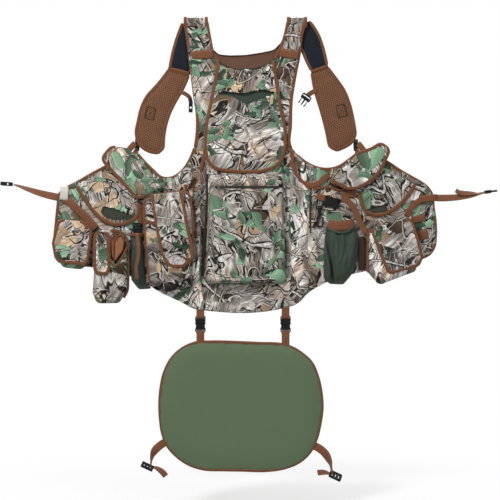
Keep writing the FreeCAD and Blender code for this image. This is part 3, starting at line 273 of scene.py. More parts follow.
def round_corners(pts):
    """Round the corners of a polygon by their radii and drop points that nearly coincide."""
    count = len(pts)
    corners = [i for i in range(count) if pts[i][3] is not None]
    if not corners:
        return [point[:3] for point in pts]

    def segment(i, way, k):
        a, b = pts[(i + way * k) % count], pts[(i + way * (k + 1)) % count]
        return a, b, math.hypot(b[0] - a[0], b[1] - a[1])

    def walk(i, way, left):
        """The point at a distance along the polygon, and how many points were passed."""
        k = 0
        while True:
            a, b, length = segment(i, way, k)
            if left < length or k > count:
                t = left / length
                return (a[0] + (b[0] - a[0]) * t, a[1] + (b[1] - a[1]) * t), k
            left -= length
            k += 1

    def run(i, way):
        """Distance to the next corner."""
        total, k = 0.0, 0
        while True:
            _, b, length = segment(i, way, k)
            total += length
            k += 1
            if b[3] is not None or k > count:
                return total

    dead, curves = set(), {}
    for i in corners:
        point = pts[i]
        if point[3] <= 0.01:
            continue
        a, b = pts[i - 1], pts[(i + 1) % count]
        ux, uz = point[0] - a[0], point[1] - a[1]
        vx, vz = b[0] - point[0], b[1] - point[1]
        turn = abs(math.atan2(ux * vz - uz * vx, ux * vx + uz * vz))
        cut = min(point[3] * math.tan(min(turn, 2.8) / 2), 0.46 * run(i, -1), 0.46 * run(i, 1))
        if cut < 0.3:
            continue
        (first, passed_back), (last, passed_on) = walk(i, -1, cut), walk(i, 1, cut)
        pieces = 3 if cut < 3 else 6 if cut < 12 else 9
        curves[i] = [((1 - w)**2 * first[0] + 2 * w * (1 - w) * point[0] + w**2 * last[0],
                      (1 - w)**2 * first[1] + 2 * w * (1 - w) * point[1] + w**2 * last[1],
                      point[2])
                     for w in (k / pieces for k in range(pieces + 1))]
        dead.update((i - k) % count for k in range(1, passed_back + 1))
        dead.update((i + k) % count for k in range(1, passed_on + 1))
    out = []
    for i in range(count):
        if i in curves:
            out += curves[i]
        elif i not in dead:
            out.append(pts[i][:3])

    def apart(a, b):
        return math.hypot(a[0] - b[0], a[1] - b[1]) > 0.25

    clean = []
    for point in out:
        if not clean or apart(point, clean[-1]):
            clean.append(point)
    if not apart(clean[0], clean[-1]):
        clean.pop()
    return clean


def winding(poly):
    """1 for an anticlockwise polygon, -1 for a clockwise one."""
    after = np.roll(poly, -1, 0)
    doubled = (poly[:, 0] * after[:, 1] - after[:, 0] * poly[:, 1]).sum()
    return 1.0 if doubled > 0 else -1.0


def unit(vectors):
    return vectors / (np.linalg.norm(vectors, axis=-1, keepdims=True) + 1e-9)


def arc_lengths(path):
    """Length along a path at each of its points."""
    return np.r_[0, np.cumsum(np.linalg.norm(np.diff(path, axis=0), axis=1))]


def even(poly, spacing, closed=True):
    """The path with points evenly spaced. Sharp corners are kept."""
    path = np.asarray(poly, float)[:, :2]
    if closed:
        path = np.vstack([path, path[:1]])
    along = arc_lengths(path)
    step = np.diff(path, axis=0)
    heading = np.arctan2(step[:, 1], step[:, 0])
    last = len(path) - 1
    marks = [0]
    for i in range(1, last):
        turn = abs((heading[i] - heading[i - 1] + math.pi) % (2 * math.pi) - math.pi)
        if turn > 0.7:
            marks.append(i)
    marks.append(last)
    out = []
    for a, b in zip(marks[:-1], marks[1:]):
        pieces = max(1, int(round((along[b] - along[a]) / spacing)))
        for t in np.linspace(along[a], along[b], pieces + 1)[:-1]:
            out.append([np.interp(t, along, path[:, c]) for c in (0, 1)])
    if not closed:
        out.append(list(path[-1]))
    return np.array(out)


def offset(poly, distance, times=1):
    """Offset a closed outline inwards (positive) by its vertex normals, in several steps."""
    path = np.asarray(poly, float)[:, :2].copy()
    side = winding(path)
    for _ in range(times):
        edges = unit(np.roll(path, -1, 0) - path)
        normals = np.c_[-edges[:, 1], edges[:, 0]] * side
        mitre = normals + np.roll(normals, 1, 0)
        mitre /= np.maximum(np.linalg.norm(mitre, axis=1), 1e-6)[:, None]
        spread = np.clip((mitre * normals).sum(1), 0.6, 1)
        path = path + mitre * (distance / times / spread)[:, None]
    return path


def run_of(poly, start, end):
    """Part of an outline between two pattern positions, open."""
    where = poly[:, 2]
    from_start = where >= start - 1e-6
    to_end = where <= end + 1e-6
    if start < end:
        return poly[from_start & to_end]
    return np.vstack([poly[from_start], poly[to_end]])


def inset(poly, distance, spacing, span=None, times=1):
    """An evenly spaced path inside an outline, all round or over a span of positions."""
    if span is None:
        return offset(even(poly, spacing), distance, times)
    path = even(run_of(poly, *span), spacing, closed=False)
    heading = unit(np.gradient(path, axis=0))
    return path + np.c_[-heading[:, 1], heading[:, 0]] * winding(poly) * distance


def at_depth(path, y):
    """A path of x, z as a path of x, y, z. y is one number or one for each point."""
    return np.c_[path[:, 0], np.zeros(len(path)) + y, path[:, 1]]


def inside(points, poly):
    x, z = points[:, 0][:, None], points[:, 1][:, None]
    a, b = poly[:, :2], np.roll(poly[:, :2], -1, 0)
    rise = np.where(b[:, 1] == a[:, 1], 1e-9, b[:, 1] - a[:, 1])
    crossing = (b[:, 0] - a[:, 0]) * (z - a[:, 1]) / rise + a[:, 0]
    hits = ((a[:, 1] > z) != (b[:, 1] > z)) & (x < crossing)
    return hits.sum(1) % 2 == 1


def edge_info(points, path, closed=True):
    """Distance to a path, and the arc length of the nearest point on it."""
    path = np.asarray(path, float)[:, :2]
    starts, ends = (path, np.roll(path, -1, 0)) if closed else (path[:-1], path[1:])
    spans = ends - starts
    lengths = np.linalg.norm(spans, axis=1)
    squares = np.maximum((spans**2).sum(1), 1e-9)
    reached = np.r_[0, np.cumsum(lengths)[:-1]]
    distance = np.empty(len(points))
    along = np.empty(len(points))
    block = 2000  # points at a time, to bound the memory
    for k in range(0, len(points), block):
        some = points[k:k + block, None, :2]
        share = np.clip(((some - starts) * spans).sum(2) / squares, 0, 1)
        gaps = np.linalg.norm(some - (starts + spans * share[..., None]), axis=2)
        nearest = gaps.argmin(1)
        rows = np.arange(len(nearest))
        distance[k:k + block] = gaps[rows, nearest]
        along[k:k + block] = reached[nearest] + share[rows, nearest] * lengths[nearest]
    return distance, along


def thin_out(points, fixed):
    """Drop points within 1 mm of an earlier one, apart from the first fixed ones."""
    cell = 1.2
    keep = np.ones(len(points), bool)
    taken = {}
    for i, (x, z) in enumerate(points):
        col, row = int(x // cell), int(z // cell)
        around = [taken[c, r] for c in range(col - 1, col + 2) for r in range(row - 1, row + 2)
                  if (c, r) in taken]
        if i >= fixed and any(math.hypot(ox - x, oz - z) < 1.0 for ox, oz in around):
            keep[i] = False
        else:
            taken[col, row] = (x, z)
    return points[keep]


def sheet(poly, spacing, seed, rings=(), hole=None):
    """Triangles inside an outline. The outline's own points come first, in order."""
    border = even(poly, spacing)
    if winding(border) < 0:
        border = border[::-1]
    edge_count = len(border)
    rng = np.random.default_rng(seed + 7)
    groups = [border]
    for ring in rings:
        path = offset(border, ring, max(1, int(ring / 1.5)))
        distance, _ = edge_info(path, border)
        groups.append(path[inside(path, border) & (distance > ring * 0.8)])
    # a jittered triangular grid fills the middle
    low, high = border.min(0), border.max(0)
    row_pitch = 0.866
    columns = int((high[0] - low[0]) / spacing) + 2
    rows = int((high[1] - low[1]) / (spacing * row_pitch)) + 2
    gx, gz = np.meshgrid(np.arange(columns), np.arange(rows))
    grid = np.c_[(low[0] + (gx + (gz % 2) * 0.5) * spacing).ravel(),
                 (low[1] + gz * spacing * row_pitch).ravel()]
    grid += rng.uniform(-0.12, 0.12, grid.shape) * spacing
    grid = grid[inside(grid, border)]
    distance, _ = edge_info(grid, border)
    last_ring = rings[-1] if rings else 0
    groups.append(grid[distance > last_ring + spacing * 0.6])
    points = np.vstack(groups)
    if rings:
        points = thin_out(points, edge_count)
    verts, _, faces, origins, _, _ = delaunay_2d_cdt(
        [Vector(point) for point in points], [], [list(range(edge_count))], 1, 1e-4)
    verts = np.array([v[:] for v in verts])
    found = {k: i for i, sources in enumerate(origins) for k in sources}
    order = [found[k] for k in range(edge_count)]
    ordered = set(order)
    order += [i for i in range(len(verts)) if i not in ordered]
    renumber = {old: new for new, old in enumerate(order)}
    verts = verts[order]
    triangles = []
    for face in faces:
        i, j, k = (renumber[v] for v in face)
        a, b, c = verts[i], verts[j], verts[k]
        clockwise = (b[0] - a[0]) * (c[1] - a[1]) - (b[1] - a[1]) * (c[0] - a[0]) < 0
        triangles.append([i, k, j] if clockwise else [i, j, k])
    if hole is not None:
        solid = ~inside(np.array([verts[t].mean(0) for t in triangles]), hole)
        triangles = [t for t, keep in zip(triangles, solid) if keep]
    return verts, triangles, edge_count


def spline(points, step=5.0):
    """A smooth open path through 2-D or 3-D points."""
    pts = np.asarray(points, float)
    count = len(pts)
    if count == 2:
        steps = max(2, int(np.linalg.norm(pts[1] - pts[0]) / step) + 1)
        return np.array([pts[0] + (pts[1] - pts[0]) * t for t in np.linspace(0, 1, steps)])
    ends = np.vstack([2 * pts[0] - pts[1], pts, 2 * pts[-1] - pts[-2]])
    out = []
    for i in range(1, count):
        a, b, c, d = ends[i - 1:i + 3]
        steps = max(1, int(math.ceil(np.linalg.norm(c - b) / step)))
        for k in range(steps):
            t = k / steps
            out.append(0.5 * (2 * b + (c - a) * t + (2 * a - 5 * b + 4 * c - d) * t * t
                              + (3 * b - a - 3 * c + d) * t**3))
    out.append(pts[-1])
    return np.array(out)


# ------------------------------------------------------------------ relief of the cloth
def waves(x, z, seed, lengths, count=14, angle=None, spread=0.5):
    """Sum of plane waves. lengths: shortest and longest; angle: way the folds run, from X."""
    shortest, longest = lengths
    rng = np.random.default_rng(seed)
    out = np.zeros_like(x)
    warp = 9 * np.sin(x / 41 + seed) + 7 * np.sin(z / 53 + 2 * seed)
    for _ in range(count):
        length = math.exp(rng.uniform(math.log(shortest), math.log(longest)))
        if angle is None:
            heading = rng.uniform(0, math.pi)
        else:
            heading = math.radians(angle + 90) + rng.normal() * spread
        phase = rng.uniform(0, 2 * math.pi)
        across = x * math.cos(heading) + z * math.sin(heading) + warp
        out += np.sin(across / length * 2 * math.pi + phase) * length / longest
    return out / math.sqrt(count)


def ridge(x, z, path, width):
    """1 on a path of (x, z) points, falling to 0 at its width; lower at the ends."""
    distance, along = edge_info(np.c_[x, z], path, closed=False)
    share = along / arc_lengths(np.asarray(path, float))[-1]
    taper = np.clip(np.minimum(share, 1 - share) * 5, 0, 1)
    return np.exp(-(distance / width)**2) * (0.15 + 0.85 * taper)


def folds(x, z, lines):
    """Ridges added up. Each line is its height (a groove if negative), width and path."""
    return sum(height * ridge(x, z, path, width) for height, width, path in lines)


def fade(edge, reach):
    """0 at the edge, 1 from reach inwards."""
    return np.clip(edge / reach, 0, 1)


def pucker(edge, along, seed, amp, reach=12.0, pitch=15.0):
    """Gathers along a seam."""
    rng = np.random.default_rng(seed)
    wave = sum(np.sin(along / (pitch * f) * 2 * math.pi + rng.uniform(0, 6.3))
               for f in (1.0, 1.7, 0.63, 2.6)) / 2.2
    return amp * wave * np.exp(-edge / reach) * fade(edge, 2.0)


def dome(edge, reach, power=0.55):
    return np.sin(fade(edge, reach) * math.pi / 2) ** power


# Profiles: functions of x, z, distance from the edge and arc length along it.
def level(height):
    return lambda x, z, edge, along: np.full(len(x), height)


def lining_swell(height, reach=14):
    """The inner side of a mesh lining."""
    return lambda x, z, edge, along: 0.6 + height * dome(edge, reach)


def soft_swell(height, reach, seed=0, amp=0.0, lengths=(24, 60), gather=0.0):
    """A soft pad's side."""
    def profile(x, z, edge, along):
        y = height * dome(edge, reach, 0.7) + amp * waves(x, z, seed, lengths) * fade(edge, 8)
        return np.maximum(y + pucker(edge, along, seed, gather, reach=10, pitch=15), 0.2)
    return profile


def boxy(depth, roll, crown, amp, seed, lengths=(22, 70), gather=0.9, extra=None):
    """A filled pocket: depth reached within roll of the edge, a crown, wrinkles and gathers."""
    def profile(x, z, edge, along):
        y = depth * dome(edge, roll, 0.5) + crown * dome(np.maximum(edge - roll * 0.6, 0), 45, 0.8)
        y = y + amp * waves(x, z, seed, lengths) * fade(edge, 14)
        y = y + pucker(edge, along, seed, gather)
        if extra is not None:
            y = y + extra(x, z, edge)
        return np.maximum(y, 0.0)
    return profile


# ------------------------------------------------------------------ mesh makers
def mesh_object(name, verts, faces, cloth, body=None, slot=None, smooth=True, **attributes):
    """An object from millimetre vertices. cloth is a key of MATERIALS, which gives the material."""
    material, own_slot = MATERIALS[cloth]
    mesh = bpy.data.meshes.new(name)
    metres = np.asarray(verts, float) / MM_PER_M
    mesh.from_pydata([tuple(v) for v in metres], [], [tuple(int(i) for i in f) for f in faces])
    mesh.validate()
    for key, data in attributes.items():
        attribute = mesh.attributes.new(key, "FLOAT_VECTOR", "POINT")
        values = np.zeros((len(verts), 3), np.float32)
        values[:, :data.shape[1]] = np.asarray(data, float) / MM_PER_M
        attribute.data.foreach_set("vector", values.ravel())
    if smooth:
        mesh.polygons.foreach_set("use_smooth", [True] * len(mesh.polygons))
    mesh.update()
    made = bpy.data.objects.new(name, mesh)
    bpy.context.scene.collection.objects.link(made)
    mesh.materials.append(material)
    if body:
        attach(made, body)
    return made


def fix_normals(made):
    mesh = bmesh.new()
    mesh.from_mesh(made.data)
    bmesh.ops.recalc_face_normals(mesh, faces=mesh.faces)
    mesh.to_mesh(made.data)
    mesh.free()


def pad(name, cloth, body, poly, y0, front, spacing=5, rings=(2, 5), back=None, seed=0,
        at=(0, 0), turn=0.0, hole=None):
    """A closed padded form over an outline.

    front and back are profiles giving the cloth's distance from y0; without a back the form
    is flat there. at and turn (degrees) place the piece on the print.
    """
    points, triangles, edge_count = sheet(poly, spacing, seed, rings, hole)
    rim = points[:edge_count]
    edge, along = edge_info(points, rim)
    edge[:edge_count] = 0
    x, z = points[:, 0], points[:, 1]
    count = len(points)
    outer = at_depth(points, y0 - front(x, z, edge, along))
    walls = []
    for i in range(edge_count):
        j = (i + 1) % edge_count
        walls.append([i, count + i, count + j, j])
    if back is None:
        behind, inner = rim, at_depth(rim, y0)
        faces = triangles + walls + [[count + i for i in range(edge_count)][::-1]]
    else:
        behind, inner = points, at_depth(points, y0 + back(x, z, edge, along))
        faces = triangles + [[count + a, count + c, count + b] for a, b, c in triangles] + walls
    verts = np.vstack([outer, inner])
    flat = np.vstack([points, behind]) + at
    angle = math.radians(turn)
    print_place = np.c_[flat[:, 0] * math.cos(angle) - flat[:, 1] * math.sin(angle),
                        flat[:, 0] * math.sin(angle) + flat[:, 1] * math.cos(angle)]
    # the cloth runs on over the side walls, so that the print doesn't smear there
    print_place += (verts[:, 1] - y0)[:, None] * (0.35, 0.6)
    return mesh_object(name, verts, faces, cloth, body, fab=print_place)


# Cross-section of flat webbing: (across, up), each from -1 to 1
FLAT_SECTION = [(-1, -1), (-0.5, -1), (0, -1), (0.5, -1), (1, -1), (1.0, 0.2), (0.96, 1),
                (0.5, 1), (0, 1), (-0.5, 1), (-0.96, 1), (-1, 0.2)]


def round_section(sides):
    section = []
    for i in range(sides):
        angle = 2 * math.pi * i / sides
        cos, sin = math.cos(angle), math.sin(angle)
        section.append((math.copysign(abs(cos)**0.6, cos), math.copysign(abs(sin)**0.75, sin)))
    return section


def sweep(name, cloth, body, path, normal, width, thick, closed=False, crown=0.0, sides=10,
          flat=False, slot=None):
    """A tape along a 3-D path, thick along normal (one vector, or one for each point)."""
    path = np.asarray(path, float)
    count = len(path)
    normals = np.broadcast_to(np.asarray(normal, float), path.shape)
    if closed:
        heading = unit(np.roll(path, -1, 0) - np.roll(path, 1, 0))
    else:
        heading = unit(np.gradient(path, axis=0))
    side = unit(np.cross(heading, normals))
    up = np.cross(side, heading)
    section = FLAT_SECTION if flat else round_section(sides)
    size = len(section)
    verts = np.empty((count, size, 3))
    across = np.empty((count, size))
    for j, (a, b) in enumerate(section):
        verts[:, j] = (path + side * (width / 2.0 * a)
                       + up * (thick / 2.0 * b + crown * (1 - a * a)))
        # 40 mm takes the outer side of the tape clear of its edge rows and stitching
        across[:, j] = width / 2.0 * a + (0 if b > -0.5 else 40)
    faces = []
    for i in range(count if closed else count - 1):
        here, there = i * size, (i + 1) % count * size
        for j in range(size):
            k = (j + 1) % size
            faces.append([here + j, there + j, there + k, here + k])
    if not closed:
        faces.append(list(range(size)))
        faces.append([(count - 1) * size + j for j in range(size)][::-1])
    tape_place = np.c_[np.repeat(arc_lengths(path), size), across.ravel()]
    made = mesh_object(name, verts.reshape(-1, 3), faces, cloth, body, slot,
                       fab=tape_place, st=tape_place)
    fix_normals(made)
    return made


def edge_tape(name, body, poly, y, span=None, width=9.0, thick=4.4, draw=3.2, spacing=6.0,
              cloth="binding", seed=0):
    """Binding tape over an outline's edge, all round or over a span of pattern positions."""
    path = inset(poly, draw, spacing, span)
    rng = np.random.default_rng(seed + 11)
    along = arc_lengths(path)
    wobble = 0.35 * (np.sin(along / 23 + rng.uniform(0, 6))
                     + 0.6 * np.sin(along / 11 + rng.uniform(0, 6)))
    return sweep(name, cloth, body, at_depth(path, y + wobble), (0, -1, 0), width, thick,
                 closed=span is None, crown=0.5, slot="binding_tape")


def tape_path(name, body, pts, y, width=9.0, thick=3.0, cloth="binding", step=5.0):
    """Tape along a smooth path of (x, z) points. y is one depth, or a list spread along it."""
    path = spline(pts, step)
    if not np.isscalar(y):
        y = np.interp(np.linspace(0, 1, len(path)), np.linspace(0, 1, len(y)), y)
    return sweep(name, cloth, body, at_depth(path, y), (0, -1, 0), width, thick,
                 crown=0.5, slot="binding_tape")


def web_path(name, body, pts, width=20.0, thick=1.7, normal=(0, -1, 0), step=5.0, cloth="web",
             slot=None):
    """Flat webbing along a smooth 3-D path. A list of normals is spread along it."""
    path = spline(pts, step)
    normal = np.asarray(normal, float)
    if normal.ndim == 2:
        here = np.linspace(0, 1, len(path))
        given = np.linspace(0, 1, len(normal))
        normal = np.stack([np.interp(here, given, normal[:, c]) for c in range(3)], axis=1)
    return sweep(name, cloth, body, path, normal, width, thick, crown=0.35, flat=True, slot=slot)


def stitches(name, body, path, pitch=5.0, length=3.2, radius=0.45, cloth="thread"):
    """A run of thread dashes along a 3-D path."""
    path = np.asarray(path, float)
    along = arc_lengths(path)

    def point(t):
        return np.array([np.interp(t, along, path[:, c]) for c in range(3)])

    verts, faces = [], []
    for t in np.arange(pitch, along[-1] - pitch, pitch):
        start, end = point(t), point(t + length)
        heading = unit(end - start)
        side = unit(np.cross(heading, (0, 1, 0)))
        up = np.cross(heading, side)
        k = len(verts)
        for centre, scale in ((start, 0.35), ((start + end) / 2, 1.0), (end, 0.35)):
            for a, b in ((1, 0), (0, 1), (-1, 0), (0, -1)):
                verts.append(centre + (side * a + up * b) * radius * scale)
        for ring in (k, k + 4):
            for j in range(4):
                i = (j + 1) % 4
                faces.append([ring + j, ring + i, ring + 4 + i, ring + 4 + j])
        faces.append([k + 3, k + 2, k + 1, k])
        faces.append([k + 8, k + 9, k + 10, k + 11])
    verts = np.array(verts)
    return mesh_object(name, verts, faces, cloth, body, fab=verts[:, [0, 2]])


def simulate(piece, pressure, cap, grow, held=None, stiff=12.0, bend=0.4):
    """Let a padded form swell and wrinkle with its seam held.

    cap: most it may move outwards and inwards, in mm. held: picks the held vertices.
    """
    frames = 20
    sideways = 0.003  # most that a vertex may move in X and Z, in metres
    scene = bpy.context.scene
    mesh = piece.data
    count = len(mesh.vertices)
    before = np.zeros(count * 3, np.float64)
    mesh.vertices.foreach_get("co", before)
    before = before.reshape(-1, 3)
    if held is None:
        pins = before[:, 1] > before[:, 1].max() - 2.0 / MM_PER_M
    else:
        pins = held(before * MM_PER_M)
    group = piece.vertex_groups.new(name="held")
    group.add([int(i) for i in np.flatnonzero(pins)], 1.0, "REPLACE")
    cloth = piece.modifiers.new("cloth", "CLOTH")
    settings = cloth.settings
    settings.quality = 5
    settings.mass = 0.25
    for way in ("tension", "compression", "shear"):
        setattr(settings, way + "_stiffness", stiff)
        setattr(settings, way + "_damping", 8.0)
    settings.bending_stiffness = bend
    settings.bending_damping = 1.0
    settings.air_damping = 2.0
    settings.use_pressure = True
    settings.uniform_pressure_force = pressure
    settings.shrink_min = -grow
    settings.shrink_max = -grow
    settings.vertex_group_mass = "held"
    settings.pin_stiffness = 1.0
    settings.effector_weights.gravity = 0.0
    cloth.collision_settings.use_collision = False
    cloth.point_cache.frame_start = 1
    cloth.point_cache.frame_end = frames
    for number in range(1, frames + 1):
        scene.frame_set(number)
    evaluated = piece.evaluated_get(bpy.context.evaluated_depsgraph_get())
    after = np.zeros(count * 3, np.float64)
    evaluated.to_mesh().vertices.foreach_get("co", after)
    evaluated.to_mesh_clear()
    piece.modifiers.remove(cloth)
    piece.vertex_groups.remove(group)
    move = after.reshape(-1, 3) - before
    # a simulation that blew up leaves the form as it was
    if np.isfinite(move).all():
        depth = np.clip(move[:, 1], -cap[0] / MM_PER_M, cap[1] / MM_PER_M)
        drift = np.linalg.norm(move[:, [0, 2]], axis=1)
        share = np.minimum(1.0, sideways / np.maximum(drift, 1e-9))
        limited = np.c_[move[:, 0] * share, depth, move[:, 2] * share]
        mesh.vertices.foreach_set("co", (before + limited * (~pins)[:, None]).ravel())
        mesh.update()
    scene.frame_set(1)


# ------------------------------------------------------------------ shader graphs
class Signal:
    """A node's output. Arithmetic on it adds Math nodes."""

    def __init__(self, graph, socket):
        self.graph = graph
        self.socket = socket

    def __add__(self, other):
        return self.graph.math("ADD", self, other)

    def __radd__(self, other):
        return self.graph.math("ADD", other, self)

    def __sub__(self, other):
        return self.graph.math("SUBTRACT", self, other)

    def __rsub__(self, other):
        return self.graph.math("SUBTRACT", other, self)

    def __mul__(self, other):
        return self.graph.math("MULTIPLY", self, other)

    def __truediv__(self, other):
        return self.graph.math("DIVIDE", self, other)

    def __pow__(self, other):
        return self.graph.math("POWER", self, other)

    def __abs__(self):
        return self.graph.math("ABSOLUTE", self)

    def ripple(self, pitch):
        """A sine wave of this value."""
        return self.graph.math("SINE", self * (2 * math.pi / pitch))

    def step(self, low, high):
        """0 below low, 1 above high, smooth between."""
        node = self.graph.node("MapRange", self, low, high)
        node.interpolation_type = "SMOOTHSTEP"
        return Signal(self.graph, node.outputs[0])

    def vector(self, operation, other=None, scale=None):
        node = self.graph.node("VectorMath", self)
        node.operation = operation
        if other is not None:
            self.graph.put(node.inputs[1], other)
        if scale is not None:
            self.graph.put(node.inputs["Scale"], scale)
        return Signal(self.graph, node.outputs[0])

    def moved(self, by):
        return self.vector("ADD", by)

    def scaled(self, by):
        return self.vector("SCALE", scale=by)

    def split(self):
        return [Signal(self.graph, out) for out in self.graph.node("SeparateXYZ", self).outputs]

    def turned(self, angle):
        """The first two coordinates, in axes turned by an angle in radians."""
        x, y, _ = self.split()
        cos, sin = self.graph.math("COSINE", angle), self.graph.math("SINE", angle)
        return x * cos + y * sin, y * cos - x * sin

    def drawn_out(self, degrees, ratio):
        """Turned, and squeezed along the second axis so that marks run long."""
        x, y = self.turned(math.radians(degrees))
        return self.graph.combine(x, y * ratio, 0.0)


class Graph:
    """A material's node tree with a Principled shader."""

    def __init__(self, name):
        self.material = bpy.data.materials.new(name)
        self.material.use_nodes = True
        self.tree = self.material.node_tree
        self.tree.nodes.clear()
        self.out = self.node("OutputMaterial")
        self.shader = self.node("BsdfPrincipled")
        self.tree.links.new(self.shader.outputs[0], self.out.inputs[0])

    def put(self, socket, value):
        if isinstance(value, Signal):
            self.tree.links.new(value.socket, socket)
        else:
            socket.default_value = value

    def node(self, kind, *values):
        """A node whose first inputs are given."""
        made = self.tree.nodes.new("ShaderNode" + kind)
        for socket, value in zip(made.inputs, values):
            self.put(socket, value)
        return made

    def attribute(self, name):
        node = self.node("Attribute")
        node.attribute_name = name
        return Signal(self, node.outputs["Vector"])

    def output(self, kind, name):
        return Signal(self, self.node(kind).outputs[name])

    def math(self, operation, *values, clamp=False):
        node = self.node("Math", *values)
        node.operation = operation
        node.use_clamp = clamp
        return Signal(self, node.outputs[0])

    def combine(self, x, y, z):
        return Signal(self, self.node("CombineXYZ", x, y, z).outputs[0])

    def noise(self, place, scale=1.0, detail=2.0, rough=0.5, distort=0.0, out="Fac"):
        node = self.node("TexNoise")
        for name, value in (("Vector", place), ("Scale", scale), ("Detail", detail),
                            ("Roughness", rough), ("Distortion", distort)):
            self.put(node.inputs[name], value)
        return Signal(self, node.outputs[out])

    def patches(self, place, moved, scale, detail, between):
        """Patches of 1 on 0, from a noise."""
        return self.noise(place.moved(moved), scale, detail).step(*between)

    def voronoi(self, place, scale, rand):
        """Cell colour as three values, and cell centre."""
        node = self.node("TexVoronoi")
        node.voronoi_dimensions = "2D"
        for name, value in (("Vector", place), ("Scale", scale), ("Randomness", rand)):
            self.put(node.inputs[name], value)
        return Signal(self, node.outputs["Color"]).split(), Signal(self, node.outputs["Position"])

    def mix(self, share, first, second, blend="MIX"):
        node = self.node("Mix")
        node.data_type = "RGBA"
        node.blend_type = blend
        self.put(node.inputs[0], share)
        for i, colour in ((6, first), (7, second)):
            self.put(node.inputs[i], colour if isinstance(colour, Signal) else (*colour, 1.0))
        return Signal(self, node.outputs[2])

    def multiply(self, first, second, share=1.0):
        return self.mix(share, first, second, "MULTIPLY")

    def ramp(self, value, stops):
        """stops: (position, colour or grey)."""
        node = self.node("ValToRGB", value)
        elements = node.color_ramp.elements
        while len(elements) < len(stops):
            elements.new(0.5)
        for element, (position, colour) in zip(elements, stops):
            element.position = position
            rgb = (colour,) * 3 if np.isscalar(colour) else colour
            element.color = (*rgb, 1.0)
        return Signal(self, node.outputs[0])

    def bump(self, height, strength, distance, normal=None):
        node = self.node("Bump")
        self.put(node.inputs["Strength"], strength)
        self.put(node.inputs["Distance"], distance)
        self.put(node.inputs["Height"], height)
        if normal is not None:
            self.put(node.inputs["Normal"], normal)
        return Signal(self, node.outputs[0])

    def done(self, colour, rough, normal=None, sheen=0.0, spec=0.3, metal=0.0):
        inputs = self.shader.inputs
        self.put(inputs["Base Color"], colour)
        self.put(inputs["Roughness"], rough)
        inputs["Specular IOR Level"].default_value = spec
        inputs["Metallic"].default_value = metal
        if sheen:
            inputs["Sheen Weight"].default_value = sheen
            inputs["Sheen Roughness"].default_value = 0.5
        if normal is not None:
            self.put(inputs["Normal"], normal)
        return self.material


def tint(colour, gain, lift=0.0):
    return tuple(min(1.0, gain * c + lift) for c in colour)


def weave(place, pitch=0.0011):
    """Height of a plain weave, pitch in metres."""
    x, y, _ = place.split()
    return x.ripple(pitch) * y.ripple(pitch)


# ------------------------------------------------------------------ camouflage print
INK = (0.010, 0.009, 0.008)


def leaf_layer(graph, place, size, jag, cover, seed):
    """Lens-shaped leaves, one to a cell. Returns mask, shade, edge and a value for each leaf.

    size: cell, length, width, share of cells with a leaf; jag: length and depth of the teeth.
    """
    cell, length, width, density = size
    place = place.moved((seed * 0.37, seed * 0.91, 0.0))
    (spin, tone, chance), centre = graph.voronoi(place, 1.0 / cell, rand=0.9)
    along, across = place.vector("SUBTRACT", centre).turned(spin * 6.283)
    body = 1.0 - abs(along / length) ** 1.7
    half = (body * width) * (0.75 + tone * 0.5)
    half = half + (graph.noise(place, 1.0 / jag[0], detail=1.0) - 0.5) * jag[1]
    margin = half - abs(across)
    mask = margin.step(0.0, 0.0008)
    edge = graph.math("SUBTRACT", margin.step(-0.0016, -0.0002), mask, clamp=True)
    on = graph.math("LESS_THAN", chance, density) * cover
    mask = mask * on
    edge = edge * on
    shade = tone * 0.7 + across.step(-width, width) * 0.35
    midrib = abs(across).step(0.0003, 0.0012)
    ribs = graph.math("SINE", (along + abs(across) * 0.8) * 900.0)
    shade = shade * ((0.62 + midrib * 0.38) * (0.93 + ribs * 0.09))
    return mask, shade, edge, tone


def paint_leaves(graph, colour, place, sizes, jag, cover, seed, edging, tones, shades):
    """edging: strength and colour of the outline; shades: darkest and lightest gain."""
    for k, size in enumerate(sizes):
        mask, shade, edge, tone = leaf_layer(graph, place, size, jag, cover, seed + k)
        colour = graph.mix(edge * edging[0], colour, edging[1])
        leaf = graph.mix(tone, *tones)
        shading = graph.ramp(shade, [(0.1, shades[0]), (0.9, shades[1])])
        colour = graph.mix(mask, colour, graph.multiply(leaf, shading))
    return colour


def paint_cracks(graph, colour, field, where, level, width, soft, pale, strength):
    """A dark line with a pale lip beside it, along a level of a noise field."""
    offset_ = field - level
    dark = 1.0 - abs(offset_).step(width, width + soft)
    lip_edge = width * 0.7
    lip = 1.0 - abs(offset_ - (2.1 * width + soft)).step(lip_edge, lip_edge + soft)
    colour = graph.mix((lip * where) * 0.55, colour, pale)
    return graph.mix((dark * where) * strength, colour, INK)


